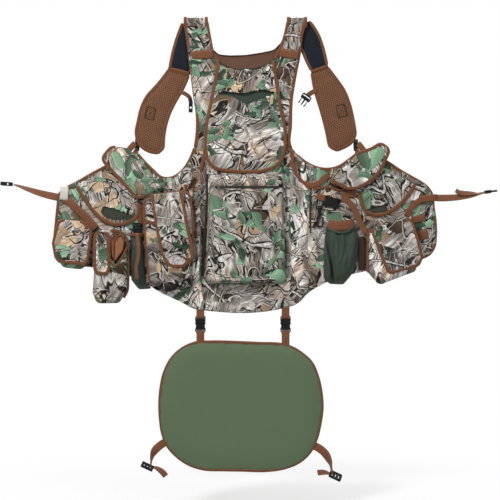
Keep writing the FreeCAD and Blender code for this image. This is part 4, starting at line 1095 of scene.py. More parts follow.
def paint_bark(graph, place, warped):
    """Long grain whose direction changes from patch to patch, with fissures along it."""
    (spin, second, third), _ = graph.voronoi(warped, 6.5, rand=1.0)
    x, y = warped.turned((spin - 0.5) * 3.0)
    grain = graph.noise(graph.combine(x * 150.0, y * 17.0, second),
                        detail=4.0, rough=0.66, distort=0.45)
    coarse = graph.noise(graph.combine(x * 34.0, y * 9.0, third),
                         detail=2.5, rough=0.55, distort=0.6)
    broad = graph.noise(warped, scale=12.0)
    value = (grain * 0.50 + coarse * 0.62) + (second - 0.5) * 0.16
    value = value + (broad - 0.5) * 0.44
    colour = graph.ramp(value, [
        (0.37, (0.020, 0.017, 0.015)), (0.44, (0.090, 0.078, 0.068)),
        (0.50, (0.205, 0.183, 0.162)), (0.57, (0.305, 0.281, 0.256)),
        (0.64, (0.430, 0.408, 0.380)), (0.74, (0.80, 0.785, 0.76))])
    warm = graph.patches(place, (3.1, 1.7, 0), scale=12.0, detail=2.0, between=(0.50, 0.66))
    colour = graph.mix(warm * 0.42, colour, graph.multiply(colour, (1.20, 0.86, 0.62)))
    fissures = graph.noise(graph.combine(x * 58.0, y * 8.5, third), distort=1.0)
    some = graph.patches(place, (1.0, 6.0, 0), scale=15.0, detail=1.0, between=(0.44, 0.52))
    return paint_cracks(graph, colour, fissures, some, level=0.50, width=0.014, soft=0.016,
                        pale=(0.78, 0.76, 0.73), strength=0.95)


def paint_twigs(graph, colour, place, warped):
    """Thin dark lines with pale lips. Rows: noise scale, level, width, direction."""
    for k, (scale, level_, width, degrees) in enumerate([
            (15.0, 0.50, 0.0056, 22.0), (20.0, 0.46, 0.0070, -52.0),
            (17.0, 0.545, 0.0062, 78.0)]):
        field = graph.noise(warped.drawn_out(degrees, 0.36).moved((7.7 + 3.0 * k, 1.3 * k, 0.3)),
                            scale, distort=0.5)
        keep = graph.patches(place, (5.0 + 2.0 * k, 3.0, 0), scale=9.0, detail=1.0,
                             between=(0.44, 0.50))
        colour = paint_cracks(graph, colour, field, keep, level_, width, soft=width * 0.8,
                              pale=(0.70, 0.67, 0.63), strength=0.92)
    return colour


def paint_branches(graph, colour, place, warped):
    """Pale branches, dark sides. Rows: noise scale, inner and outer width, light, direction."""
    for k, (scale, inner, outer, light, degrees) in enumerate([
            (9.0, 0.0075, 0.0130, 0.80, 58.0), (13.0, 0.0050, 0.0098, 0.66, -28.0)]):
        field = graph.noise(warped.drawn_out(degrees, 0.34).moved((11.3 * (k + 1), 4.1, 0.0)),
                            scale, detail=1.2, rough=0.4, distort=0.25)
        across = field - (0.5 + 0.03 * k)
        distance = abs(across)
        keep = graph.patches(place, (2.0 + k, 9.0, 0), scale=8.0, detail=1.0,
                             between=(0.46, 0.50))
        dark = (1.0 - distance.step(outer, outer + 0.004)) * keep
        pale = (1.0 - distance.step(inner, inner + 0.002)) * keep
        bark = graph.ramp(graph.noise(place.scaled(190.0), detail=3.0, rough=0.6),
                          [(0.35, tint((0.36, 0.33, 0.30), light)),
                           (0.62, (light, light * 0.97, light * 0.93))])
        side = across.step(-inner, inner * 1.6)
        bark = graph.mix(side * 0.6, bark, (0.11, 0.09, 0.075))
        colour = graph.mix(dark * 0.95, colour, INK)
        colour = graph.mix(pale, colour, bark)
    return colour


def camo_material():
    """Bark, tan leaves, twigs, branches and green leaves printed on brushed cloth."""
    graph = Graph("camo_cloth")
    place = graph.attribute("fab")
    warp = graph.noise(place, scale=14.0, detail=3.0, out="Color")
    warped = place.moved(warp.vector("SUBTRACT", (0.5, 0.5, 0.5)).scaled(0.022))
    colour = paint_bark(graph, place, warped)
    cover = graph.patches(place, (0.0, 5.2, 1.0), scale=8.0, detail=1.0, between=(0.535, 0.555))
    colour = paint_leaves(
        graph, colour, warped, [(0.078, 0.052, 0.022, 0.78), (0.058, 0.038, 0.015, 0.6)],
        jag=(0.007, 0.012), cover=cover, seed=3.0, edging=(0.95, (0.016, 0.011, 0.009)),
        tones=((0.165, 0.108, 0.070), (0.560, 0.425, 0.290)), shades=(0.30, 1.20))
    colour = paint_twigs(graph, colour, place, warped)
    colour = paint_branches(graph, colour, place, warped)
    cover = graph.patches(place, (8.4, 2.6, 2.0), scale=9.0, detail=1.5, between=(0.536, 0.554))
    colour = paint_leaves(
        graph, colour, warped,
        [(0.040, 0.034, 0.0090, 0.75), (0.030, 0.027, 0.0070, 0.65), (0.054, 0.042, 0.0140, 0.50)],
        jag=(0.004, 0.003), cover=cover, seed=11.0, edging=(0.9, (0.008, 0.014, 0.010)),
        tones=((0.080, 0.140, 0.092), (0.270, 0.420, 0.290)), shades=(0.35, 1.25))
    contrast = Signal(graph, graph.node("Gamma", colour, 1.16).outputs[0])
    colour = graph.multiply(contrast, (1.24, 1.235, 1.23))
    # fine weave, brushed nap, soft creases
    threads = weave(place)
    nap = graph.noise(place.scaled(700.0), rough=0.6)
    crease = graph.noise(place, scale=46.0, detail=3.0, rough=0.6, distort=0.9)
    normal = graph.bump(threads * 0.25 + nap * 0.4, strength=0.25, distance=0.0004)
    normal = graph.bump(crease, strength=0.65, distance=0.0034, normal=normal)
    colour = graph.multiply(colour, graph.ramp(nap, [(0.3, 0.50), (0.7, 1.0)]), share=0.15)
    return graph.done(colour, 0.80 + nap * 0.14, normal, sheen=0.06, spec=0.18)


# ------------------------------------------------------------------ plain materials
def tape_material(name, base, rib, width=9.0, stitch=True, edge_paling=0.35):
    """Ribbed tape or webbing, rib in metres. st holds the place along and across."""
    graph = Graph(name)
    place = graph.attribute("st")
    along, across, _ = place.split()
    ribs = along.ripple(rib)
    cords = across.ripple(0.0023)
    blotches = graph.noise(place.scaled(60.0), detail=3.0, rough=0.6)
    fine = graph.noise(place.scaled(900.0))
    half = width / 2000.0
    edge = abs(across).step(half * 0.66, half)
    colour = graph.mix(blotches, tint(base, 0.72), tint(base, 1.22))
    colour = graph.mix((ribs * 0.5 + 0.5) * 0.20, colour, tint(base, 0.45))
    # paler towards both edges
    colour = graph.mix(edge * edge_paling, colour, tint(base, 1.5, 0.02))
    height = ribs * 0.5 + cords * 0.15
    height = height + fine * 0.4
    if stitch:
        # a run of thread along each side
        row = 1.0 - abs(abs(across) - half * 0.62).step(0.0002, 0.0005)
        thread = row * along.ripple(0.0036).step(-0.45, -0.2)
        colour = graph.mix(thread * 0.75, colour, tint(base, 1.9, 0.03))
        height = height + thread * 1.2
    normal = graph.bump(height, strength=0.5, distance=0.0006)
    return graph.done(colour, 0.62 + fine * 0.25, normal, sheen=0.15, spec=0.3)


def mesh_material(name, dark, light, pitch):
    """Spacer mesh: rows of small round holes, pitch in metres."""
    graph = Graph(name)
    place = graph.attribute("fab")
    x, y, _ = place.split()
    rate = math.pi / pitch
    rising = graph.math("SINE", (x + y * 0.577) * (rate * 2))
    falling = graph.math("SINE", (x - y * 0.577) * (rate * 2))
    rows = graph.math("SINE", y * (rate * 2.31))
    holes = ((rising + falling) + rows * 0.6).step(0.55, 1.35)
    blotches = graph.noise(place.scaled(38.0), detail=3.0, rough=0.6)
    fine = graph.noise(place.scaled(800.0))
    colour = graph.mix(blotches * 0.8 + fine * 0.35, tint(light, 0.65), light)
    # the holes are painted near-black: painted shade down in the recesses
    colour = graph.mix(holes * 0.88, colour, dark)
    height = (1.0 - holes) * 1.0 + fine * 0.25
    normal = graph.bump(height, strength=0.7, distance=0.0012)
    return graph.done(colour, 0.78, normal, sheen=0.2, spec=0.25)


def cloth_material(name, base, rough=0.7, sheen=0.1, spec=0.3, blotch=0.2, crease=0.5,
                   crease_scale=55.0, crease_depth=0.0022):
    """Plain woven cloth with soft creases."""
    graph = Graph(name)
    place = graph.attribute("fab")
    threads = weave(place)
    blotches = graph.noise(place.scaled(14.0), detail=4.0, rough=0.6)
    fine = graph.noise(place.scaled(900.0))
    creases = graph.noise(place, crease_scale, detail=3.0, rough=0.6, distort=1.2)
    colour = graph.mix(blotches, tint(base, 1 - blotch), tint(base, 1 + blotch))
    colour = graph.mix((threads * 0.5 + 0.5) * 0.22, colour, tint(base, 0.55))
    colour = graph.mix(fine * 0.16, colour, tint(base, 1.7, 0.01))
    normal = graph.bump(threads * 0.6 + fine * 0.3, strength=0.35, distance=0.0004)
    normal = graph.bump(creases, crease, crease_depth, normal)
    return graph.done(colour, rough + fine * 0.12, normal, sheen=sheen, spec=spec)


def plastic_material(name, base, rough):
    """Grained, scuffed plastic, paler on its ridges."""
    graph = Graph(name)
    place = graph.output("TexCoord", "Object")
    grain = graph.noise(place.scaled(2200.0), rough=0.6)
    scuffs = graph.noise(place.scaled(120.0), detail=4.0, rough=0.65, distort=0.4)
    colour = graph.mix(scuffs.step(0.5, 0.72), base, tint(base, 1.8, 0.005))
    # paler on convex ridges, by pointiness
    ridge_paling = graph.output("NewGeometry", "Pointiness").step(0.52, 0.60)
    colour = graph.mix(ridge_paling * 0.10, colour, (0.04, 0.04, 0.042))
    normal = graph.bump(grain, strength=0.25, distance=0.0003)
    return graph.done(colour, (rough - 0.08) + scuffs * 0.25, normal, spec=0.22)


def metal_material(name, base):
    """Brushed metal."""
    graph = Graph(name)
    place = graph.output("TexCoord", "Object")
    brush = graph.noise(place.vector("MULTIPLY", (400.0, 400.0, 4000.0)), detail=3.0, rough=0.6)
    colour = graph.mix(brush, tint(base, 0.7), tint(base, 1.2))
    normal = graph.bump(brush, strength=0.2, distance=0.0002)
    return graph.done(colour, 0.3 + brush * 0.25, normal, spec=0.5, metal=0.9)


# Each entry: material, and a slot name
MATERIALS = {
    "camo": (camo_material(), "camo_cloth"),
    "binding": (tape_material("binding_tape", (0.170, 0.060, 0.021), rib=0.0013,
                              edge_paling=0.175), "binding_tape"),
    "web": (tape_material("webbing", (0.182, 0.068, 0.027), rib=0.0021, width=20.0,
                          edge_paling=0.175), "webbing"),
    "mesh": (mesh_material("brown_mesh_cloth", dark=(0.012, 0.006, 0.004),
                           light=(0.215, 0.092, 0.042), pitch=0.0058), "brown_mesh_cloth"),
    "lining": (mesh_material("lining_mesh", dark=(0.012, 0.008, 0.006),
                             light=(0.105, 0.062, 0.038), pitch=0.0052), "brown_mesh_cloth"),
    "brown": (cloth_material("brown_cloth", (0.118, 0.058, 0.034), rough=0.75, crease=0.7,
                             crease_depth=0.004, crease_scale=30.0), "brown_cloth"),
    "leaf": (cloth_material("divider_cloth", (0.270, 0.105, 0.045), rough=0.6, crease=0.3),
             "brown_cloth"),
    "green": (cloth_material("dark_green_cloth", (0.031, 0.051, 0.035), rough=0.55,
                             sheen=0.12, crease=0.9, crease_scale=30.0, crease_depth=0.004),
              "dark_green_cloth"),
    "darkmesh": (mesh_material("dark_green_mesh", dark=(0.006, 0.008, 0.006),
                               light=(0.062, 0.066, 0.048), pitch=0.0036),
                 "dark_green_cloth"),
    "seat": (cloth_material("seat_cloth", (0.094, 0.140, 0.072), rough=0.56, sheen=0.12,
                            spec=0.35, blotch=0.05, crease=0.12, crease_scale=26.0),
             "seat_cloth"),
    "navy": (cloth_material("navy_cloth", (0.008, 0.011, 0.018), sheen=0.03, spec=0.18),
             "navy_cloth"),
    "elastic": (tape_material("dark_elastic", (0.030, 0.034, 0.028), rib=0.0018, width=20.0,
                              stitch=False), "webbing"),
    "tab": (cloth_material("pale_tab", (0.62, 0.58, 0.50), crease=0.3), "binding_tape"),
    "plastic": (plastic_material("black_plastic", (0.0035, 0.0035, 0.0042), rough=0.52), None),
    "zip": (tape_material("zip_tape", (0.060, 0.050, 0.040), rib=0.0020, width=17.0),
            "zip_tape"),
    "coil": (plastic_material("zip_coil", (0.035, 0.030, 0.024), rough=0.35), "zip_tape"),
    "metal": (metal_material("zip_metal", (0.16, 0.15, 0.14)), None),
    "foam": (cloth_material("foam", (0.30, 0.29, 0.25), rough=0.9), None),
    "thread": (cloth_material("thread", (0.30, 0.17, 0.10), rough=0.6, crease=0.2),
               "binding_tape"),
    # dark thread; also the colour of the strips of painted shade in the gaps between pieces
    "dark_shade_and_thread": (cloth_material("dark_thread_and_painted_shade", (0.030, 0.014, 0.008), crease=0.2),
                    "binding_tape"),
}

# ------------------------------------------------------------------ back
back = outline("back_panel")

# Fold tables: height, width, path
BACK_FOLDS = [
    (5.0, 5, [(-110, 92.5), (-112.5, -7.5), (-116.25, -132.5), (-112.5, -247.5)]),
    (4.0, 6, [(103.75, 47.5), (106.25, -45), (110, -157.5), (105, -237.5)]),
    (3.85, 7, [(-101.25, -237.5), (-52.5, -248.75), (10, -251.25), (85, -242.5)]),
    (3.5, 9, [(-140, 417.5), (-135, 342.5), (-122.5, 255), (-117.5, 180)]),
    (3.0, 9, [(130, 412.5), (115, 342.5), (97.5, 267.5)]),
    (2.6, 5, [(-117.5, 317.5), (-100, 337.5)]),
    (2.6, 5, [(100, 337.5), (120, 307.5)]),
]


def back_front(x, z, edge, along):
    y = 2.6 + 1.2 * dome(edge, 25) + pucker(edge, along, seed=5, amp=0.9, reach=16, pitch=22)
    y += 1.3 * waves(x, z, seed=3, lengths=(30, 90), angle=80, spread=0.6)
    y += folds(x, z, BACK_FOLDS)
    # kept low where the upper pouch lies over it
    pouch_area = (x > -102.5) & (x < 97.5) & (z > 62.5) & (z < 327.5)
    return np.clip(np.where(pouch_area, np.minimum(y, 3.6), y), 1.4, 11)


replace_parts(pad("back_shell", "camo", "back", back, SHELL_Y, back_front, rings=(2.5, 6), seed=1),
            "back_panel")
edge_tape("armhole_tape_left", "back", back, -3.4, (1, 6.95), width=9.5, thick=5.4, seed=1)
edge_tape("armhole_tape_right", "back", back, -3.4, (19.05, 25), width=9.5, thick=5.4, seed=2)
edge_tape("neck_tape_left", "back", back, -3.6, (8.05, 10.9), width=8.5, seed=3)
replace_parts(edge_tape("neck_tape_right", "back", back, -3.6, (15.2, 17.95), width=8.5, seed=3),
            "back_binding")
edge_tape("neck_edge", "back", back, -2.6, (10.7, 15.4), width=3.4, thick=4.2, draw=0.8,
          cloth="dark_shade_and_thread", seed=3)

# hem band along the lower edge
sweep("hem_band", "camo", "back", at_depth(inset(back, 13.0, 8.0, (27.05, 31.9)), -5.0),
      (0, -1, 0), width=25.0, thick=3.0, crown=1.6)
stitches("hem_stitch", "back", at_depth(inset(back, 23.5, 8.0, (27.1, 31.85)), -7.4))

# yoke, inside the shoulders: (x, z)
YOKE = [
    (-148, 433.75), (-101.25, 433.75), (-91.25, 392.5), (-82.5, 367.5), (-67.5, 356.25),
    (-40, 353.75), (0, 355), (40, 361.25), (70, 367.5), (86.25, 385), (97.5, 405),
    (107.5, 433.75), (145.5, 433.75), (135, 397.5), (130, 355), (121.5, 311.25),
    (-132, 311.25), (-141.25, 380),
]


def yoke_front(x, z, edge, along):
    wrinkles = waves(x, z, seed=8, lengths=(22, 60), angle=48, spread=0.25)
    return np.clip(1.1 + wrinkles * fade(edge, 10), 0.4, 2.6)


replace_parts(pad("yoke", "brown", "back", YOKE, -0.6, yoke_front, rings=(3,), seed=2,
                back=lambda x, z, edge, along: 0.5 + 0.7 * dome(edge, 12)), "yoke_lining")
tape_path("yoke_edge", "back",
          [(-81, 366.5), (-66.25, 355.25), (-40, 352.25), (0, 353.5), (40, 359.5), (69, 367.25),
           (84, 381)], -2.6, width=2.2, cloth="dark_shade_and_thread")


def cut_lining(top):
    """The back lining's outline cut off straight at a height."""
    path = even(outline("back_lining"), 8)
    path[:, 1] = np.minimum(path[:, 1], top)
    kept = [path[0]]
    for point in path[1:]:
        if np.linalg.norm(point - kept[-1]) > 2.5:
            kept.append(point)
    path = np.array(kept)
    # drop the doubled run along the cut, and start after the gap that it leaves
    path = path[path[:, 1] <= top - 0.1]
    gap = int(np.argmax(np.linalg.norm(np.roll(path, -1, 0) - path, axis=1)))
    return np.roll(path, -(gap + 1), 0)


def lining_back(x, z, edge, along):
    channels = 1.6 * np.abs(np.sin(z / 150 * math.pi)) ** 0.5
    return 0.6 + 2.2 * dome(edge, 14) + channels * fade(edge, 20)


lining = cut_lining(top=303.0)
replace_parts(pad("back_lining_mesh", "lining", "back", lining, LINING_Y, level(0.5), spacing=8,
                rings=(3,), back=lining_back, seed=4), "back_lining")
top_x = lining[lining[:, 1] > 292][:, 0]
sweep("lining_top_tape", "binding", "back",
      [(x, 1.7, 303.6 + 1.2 * math.sin(x / 37))
       for x in np.linspace(top_x.min() + 1, top_x.max() - 1, 40)],
      (0, 1, 0), width=11.0, thick=2.6, crown=0.4)
for i in range(7):
    row_z = 232 - 72 * i
    row_ends = (-112, 100) if row_z > 110 else (-122, 118)
    stitches(f"lining_stitch_{i}", "back",
             [(x, 2.9 + 0.2 * math.sin(x / 50), row_z + 5 * math.sin(x / 70 + i))
              for x in np.linspace(*row_ends, 60)], pitch=7.0, length=4.6, radius=0.7)

# bars across the shoulders and the loop inside the neck
for name, (ax, az), (bx, bz) in (("shoulder_bar_left", (-139.5, 354.25), (-82, 357.5)),
                                 ("shoulder_bar_right", (85, 361.5), (131.5, 353.5))):
    bar = web_path(name, "back", [(ax, -7.4, az), ((ax + bx) / 2, -8.6, (az + bz) / 2 - 1),
                                  (bx, -7.4, bz)], width=21, thick=2.0)
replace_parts(bar, "back_webbing")
web_path("hang_loop", "back",
         [(-27, 1.2, 342), (-28, 1.8, 322), (-20, 2.6, 313.6), (0, 2.8, 312.2), (20, 2.6, 313.6),
          (28, 1.8, 322), (27, 1.2, 342)], width=9, thick=1.6, step=3.0)

# ------------------------------------------------------------------ upper pouch
pouch = outline("upper_pouch")
# opening across the pouch: (x, z)
SLIT = np.array([
    (-73.75, 259), (-57.5, 262.5), (-27.5, 260.5), (-6.25, 257.5), (15, 263.5), (40, 267),
    (60, 264), (75, 258), (60, 251.25), (42.5, 244.5), (22.5, 236), (0, 227.5), (-20, 239.5),
    (-35, 250), (-57.5, 252.5)])
POUCH_FOLDS = [(2.2, 6, [(-45, 212.5), (-30, 177.5), (-25, 137.5)]),
               (-1.8, 7, [(40, 222.5), (35, 182.5), (45, 147.5)])]


def pouch_front(x, z, edge, along):
    from_slit, _ = edge_info(np.c_[x, z], SLIT)
    y = 5.2 + 5.5 * dome(edge, 34, 0.9) + 0.9 * waves(x, z, 21, (25, 80)) * fade(edge, 12)
    y += pucker(edge, along, seed=9, amp=0.9, reach=14, pitch=18)
    # the lower lip of the slit stands out
    lip = np.where(z < 252.5, 7.0, 1.2)
    y += lip * np.exp(-(from_slit / 16.0)**2) * np.exp(-((x - 2.5) / 62.0)**2)
    return np.maximum(y + folds(x, z, POUCH_FOLDS), 2.0)


def pouch_inside(x, z, edge, along):
    wrinkles = waves(x, z, seed=31, lengths=(12, 34), angle=70)
    return 1.2 + 1.6 * dome(edge, 20) + 0.8 * wrinkles * fade(edge, 8)


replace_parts(pad("upper_pouch_front", "camo", "back", pouch, -4.4, pouch_front, rings=(2.5, 6),
                seed=5, at=(-150, 620), turn=14, hole=SLIT), "upper_pouch")
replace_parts(pad("upper_pouch_inside", "green", "back", inset(pouch, 6, 8), -4.3, pouch_inside,
                spacing=7, rings=(), seed=6), "upper_pouch_lining")
for name, pts in (("pouch_tape_top_left", [(-71.5, 320), (-69.25, 330), (-72.5, 341)]),
                  ("pouch_tape_top_right", [(71.5, 320), (69, 330), (67.5, 341)])):
    tape_path(name, "back", pts, [-9.4, -8.0, -6.4], width=8.6, thick=4.8)
edge_tape("pouch_tape", "back", pouch, -9.4, (0.001, 19.999), width=9.6, thick=5.2, draw=3.0,
          seed=4)
for side, pts in (
        ("left", [(-101.25, 117.5), (-106.25, 92.5), (-113.75, 65), (-123.75, 42.5),
                  (-136.25, 23.75)]),
        ("right", [(103.75, 120), (113.75, 112.5), (116.25, 87.5), (122.5, 62.5),
                   (137.5, 41.25), (157.5, 25)])):
    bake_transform(tape_path("seam_tape_" + side, None, pts, -9.0, thick=4.2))

# ------------------------------------------------------------------ boxed pockets
GAME_ROLL = [
    (-86.25, 67.5), (-87, -7.5), (-88.5, -95), (-93.5, -172.5), (-86.25, -205), (-40, -209),
    (40, -210), (80.5, -203.5), (88, -167.5), (84.5, -95), (86, -7.5), (86.5, 67.5)]
GAME_GROOVE = [
    (-79.5, 52.5), (-80.5, -7.5), (-80, -162.5), (-74.5, -189), (-45, -195), (40, -195.5),
    (67, -189), (73, -157.5), (78, -7.5), (78.5, 52.5)]
GAME_FOLDS = [
    (3.6, 8, [(-80, 12.5), (-60, -32.5), (-65, -97.5)]),
    (3.0, 8, [(70, 2.5), (50, -47.5), (60, -117.5)]),
    (2.6, 9, [(-35, -162.5), (-15, -107.5), (-20, -42.5)]),
    (-2.5, 9, [(15, -7.5), (25, -72.5), (10, -132.5)]),
    (2.8, 8, [(-85, -162.5), (-50, -177.5), (10, -172.5), (60, -162.5)]),
]
ZIP_X = (-75, 80)
ZIP_Z = 23.75


def pocket(part, body, profile, seed, at, turn, cap, grow=0.035, spacing=5,
           rings=POCKET_RINGS, y0=POCKET_Y, hole=None):
    """A filled pocket, settled by a cloth simulation."""
    made = pad(part + "_cloth", "camo", body, outline(part), y0, profile, spacing, rings,
               seed=seed, at=at, turn=turn, hole=hole)
    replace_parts(made, part)
    simulate(made, pressure=1.5, cap=cap, grow=grow)


def game_extra(x, z, edge):
    """A channel for the zip with a roll over it, rolled edges and folds."""
    y = -4.0 * np.exp(-((z - 23.5) / 3.2)**2) + 3.2 * np.exp(-((z - 35) / 8.0)**2)
    y += 5.5 * ridge(x, z, GAME_ROLL, 8.5) * np.clip((32.5 - z) / 20, 0.25, 1)
    y -= 8.5 * ridge(x, z, GAME_GROOVE, 3.4) * np.clip((22.5 - z) / 12, 0.3, 1)
    return (y + folds(x, z, GAME_FOLDS)) * fade(edge, 6)


def zip_coil():
    """Two staggered rows of teeth."""
    verts, faces = [], []
    for i, x in enumerate(np.arange(*ZIP_X, 2.1)):
        y = -35.7 - 0.5 * (1 - (x / 90.0)**2)
        z = ZIP_Z + (0.9 if i % 2 else -0.9)
        k = len(verts)
        for dx in (-0.75, 0.75):
            for dy, dz in ((0, -1.7), (0, 1.7), (-1.0, 1.1), (-1.0, -1.1)):
                verts.append((x + dx, y + dy, z + dz))
        faces += [[k, k + 1, k + 2, k + 3], [k + 7, k + 6, k + 5, k + 4]]
        faces += [[k + j, k + 4 + j, k + 4 + (j + 1) % 4, k + (j + 1) % 4] for j in range(4)]
    verts = np.array(verts)
    fix_normals(mesh_object("zip_coil", verts, faces, "coil", "back", smooth=False,
                            fab=verts[:, [0, 2]]))


pocket("game_pocket", "back",
       boxy(27.0, roll=7, crown=4.0, amp=1.3, seed=41, lengths=(26, 80), gather=1.0,
            extra=game_extra),
       seed=7, at=(-520, 260), turn=-6, cap=(3.0, 5.0), grow=0.03, y0=-3.2)
sweep("game_pocket_base_piping", "camo", "back",
      at_depth(inset(outline("game_pocket"), -1.0, 5.0), -7.0), (0, -1, 0), width=4.2,
      thick=4.2, closed=True, sides=8)
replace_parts(web_path("zip_tape_cloth", "back",
                     [(ZIP_X[0] - 2, -34.2, ZIP_Z), (0, -34.8, ZIP_Z), (ZIP_X[1] + 2, -34.2, ZIP_Z)],
                     width=5.4, thick=2.2, cloth="zip"), "game_pocket_zip")
zip_coil()


# ------------------------------------------------------------------ wings
def wing_shell(side, lines, span, seed, at, turn):
    """A wing's outer cloth with folds, its binding over a span of the edge, and its lining."""
    body = side + "_wing"
    poly = outline(body)

    def front(x, z, edge, along):
        y = 3.4 + 2.2 * dome(edge, 30) + 2.0 * waves(x, z, seed, (26, 80)) * fade(edge, 10)
        y += pucker(edge, along, seed, amp=1.1, reach=18, pitch=20)
        return np.clip(y + folds(x, z, lines), 1.2, 13)

    def behind(x, z, edge, along):
        y = lining_swell(2.0)(x, z, edge, along)
        return y + 0.8 * waves(x, z, seed + 3, (60, 140)) * fade(edge, 14)

    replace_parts(pad(body + "_shell", "camo", body, poly, SHELL_Y, front, spacing=5.5,
                    rings=(2.5, 6), seed=seed, at=at, turn=turn), body + "_panel")
    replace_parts(edge_tape(body + "_tape", body, poly, -3.2, span, width=9.5, thick=5.6,
                          seed=seed), body + "_binding")
    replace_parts(pad(body + "_lining_mesh", "lining", body, inset(poly, 3.0, 8), LINING_Y,
                    level(0.5), spacing=9, rings=(3,), back=behind, seed=seed),
                body + "_lining")


wing_shell("left", [
    (4.0, 7, [(-150, 77.5), (-140, 47.5), (-135, 12.5)]),
    (4.0, 6, [(-202.5, 40), (-175, 35), (-150, 27.5)]),
    (3.5, 6, [(-305, -72.5), (-290, -62.5), (-265, -55)]),
    (5.0, 7, [(-215, -247.5), (-175, -257.5), (-145, -270)]),
], span=(1, 20.95), seed=51, at=(820, -190), turn=24)
wing_shell("right", [
    (9.5, 4.2, [(171.5, 22.5), (169.5, -45), (171.5, -107.5), (180, -197.5)]),
    (3.5, 7, [(143.75, 2.5), (140, -95), (147.5, -222.5)]),
    (-6.0, 3.4, [(159, 22.5), (159.5, -45), (161.5, -132.5), (167.5, -217.5)]),
    (3.0, 6, [(290, 2.5), (255, -22.5), (235, -47.5)]),
    (4.0, 5, [(287.5, -197.5), (292.5, -132.5), (287.5, -97.5)]),
], span=(1, 24), seed=61, at=(-700, 330), turn=-18)

# Strips over the side seams: (x, z)
SEAM_STRIPS = {
    "left": [
        (-141.25, 93.75), (-123.75, 117.5), (-102.5, 110), (-98.75, 62.5), (-100, -82.5),
        (-107.5, -210), (-105, -281.25), (-130, -276.25), (-148.75, -266.25),
        (-141.25, -222.5), (-136.25, -107.5), (-134, -7.5)],
    "right": [
        (107.5, 117.5), (116.25, 116.25), (142.5, 92.5), (157.5, 72.5), (160, 17.5),
        (155, -107.5), (155, -232.5), (131.25, -261.25), (106.25, -271.25), (107.5, -207.5),
        (108.75, -82.5), (107.5, 17.5)],
}
STRIP_CORNERS = (0, 1, 6, 7, 8)
STRIP_FOLDS = {
    "left": [(6.5, 4.0, [(-130, 17.5), (-131, -70), (-131.25, -162.5), (-130, -247.5)])],
    "right": [
        (7.0, 7.5, [(141.25, 52.5), (139, -20), (137.5, -107.5), (132.5, -220)]),
        (4.0, 6, [(117.5, 67.5), (118.75, -57.5), (120, -207.5)]),
        (6.0, 3.6, [(151.5, 27.5), (152.5, -20), (152.5, -87.5), (150, -162.5)])],
}
LEFT_PLEAT = [(-117, 77.5), (-116, 17.5), (-115.5, -57.5), (-116.5, -132.5), (-119.5, -207.5),
              (-122.5, -265)]


def seam_strip(side):
    """Cloth across the side seam, pleated."""
    sign = SIDES[side]
    pts = SEAM_STRIPS[side]

    def front(x, z, edge, along):
        fold = folds(x, z, STRIP_FOLDS[side])
        if side == "left":
            fold += 18.0 * ridge(x, z, LEFT_PLEAT, 5.4) * np.clip((92.5 - z) / 40, 0, 1)
        wrinkles = waves(x, z, seed=71, lengths=(24, 60), angle=85, spread=0.3)
        y = 1.2 + 2.6 * dome(edge, 10) + fold * fade(edge, 5) + 0.8 * wrinkles * fade(edge, 8)
        return np.maximum(y, 0.3)

    def bend(made):
        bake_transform(made)

    outer = outline([(*p, 3.0) if i in STRIP_CORNERS else p for i, p in enumerate(pts)])
    bend(pad(side + "_side_pleat", "camo", None, outer, POCKET_Y, front, spacing=3.6,
             rings=(2,), seed=9, at=(100 * sign, 0), turn=3))
    bend(pad(side + "_side_lining", "lining", None, outline([(x, z - 3) for x, z in pts]), -0.2,
             level(0.2), spacing=6, rings=(2,), seed=10,
             back=lambda x, z, edge, along: 0.4 + 2.6 * dome(edge, 12)))


seam_strip("left")
seam_strip("right")


# ------------------------------------------------------------------ makers of wing pieces
def flap(name, y0, seed, at, turn, hinge=(0.001, 0.999), crown=2.2):
    """A stiffened flap, taped round its free edges. hinge: ends of its sewn edge."""
    poly = outline(name)

    def front(x, z, edge, along):
        y = 3.6 * dome(edge, 3.5, 0.5) + crown * dome(edge, 26, 0.9)
        y = y + 0.7 * waves(x, z, seed, (22, 60)) * fade(edge, 10)
        return np.maximum(y + pucker(edge, along, seed, amp=0.6, pitch=14), 0.2)

    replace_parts(pad(name + "_cloth", "camo", name, poly, y0 + 0.1, front, spacing=4.5,
                    rings=(1.5, 4), seed=seed, at=at, turn=turn), name)
    edge_tape(name + "_tape", name, poly, y0 - 1.9, hinge[::-1], width=9.4, thick=5.6,
              draw=3.0, spacing=5, seed=seed)


MESH_POCKET_LINES = {
    "left": [
        [(-427.5, -22.5), (-395, 2.5), (-355, 12.5), (-315, 2.5)],
        [(-415, -37.5), (-375, -20), (-335, -22.5)],
        [(-372.5, 42.5), (-345, 17.5), (-320, -17.5)]],
    "right": [
        [(405, 17.5), (370, 2.5), (330, -22.5), (300, -32.5)],
        [(395, 32.5), (355, 22.5), (315, -2.5)],
        [(380, 47.5), (335, 37.5), (300, 12.5)],
        [(365, -27.5), (330, -37.5)]],
}


def mesh_pocket(side, seed, at, turn, span):
    """A flat pocket with a mesh window in it."""
    body, name = side + "_wing", side + "_mesh_pocket"
    poly = outline(name)
    window = outline(side + "_mesh_window")

    def front(x, z, edge, along):
        creases = folds(x, z, [(3.2, 5.0, line) for line in MESH_POCKET_LINES[side]])
        creases = (creases + 1.2 * waves(x, z, seed, (16, 50))) * fade(edge, 10)
        from_window, _ = edge_info(np.c_[x, z], window)
        lip = 2.4 * np.exp(-(from_window / 5.0)**2)
        y = 5.0 + 4.4 * dome(edge, 30, 0.9) + lip + creases * np.clip(from_window / 8, 0.2, 1)
        return np.maximum(y, 0.5)

    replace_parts(pad(name + "_cloth", "camo", body, poly, POCKET_Y, front, seed=seed, at=at,
                    turn=turn, hole=window), name)
    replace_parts(pad(side + "_mesh_window_cloth", "darkmesh", body, inset(window, -3.0, 4), -4.6,
                    lambda x, z, edge, along: 4.6 + 2.6 * dome(edge, 12, 0.9), rings=(2,),
                    seed=seed), side + "_mesh_window")
    edge_tape(name + "_tape", body, poly, -11.0, span, width=9.5, thick=6.0, draw=2.0, seed=seed)


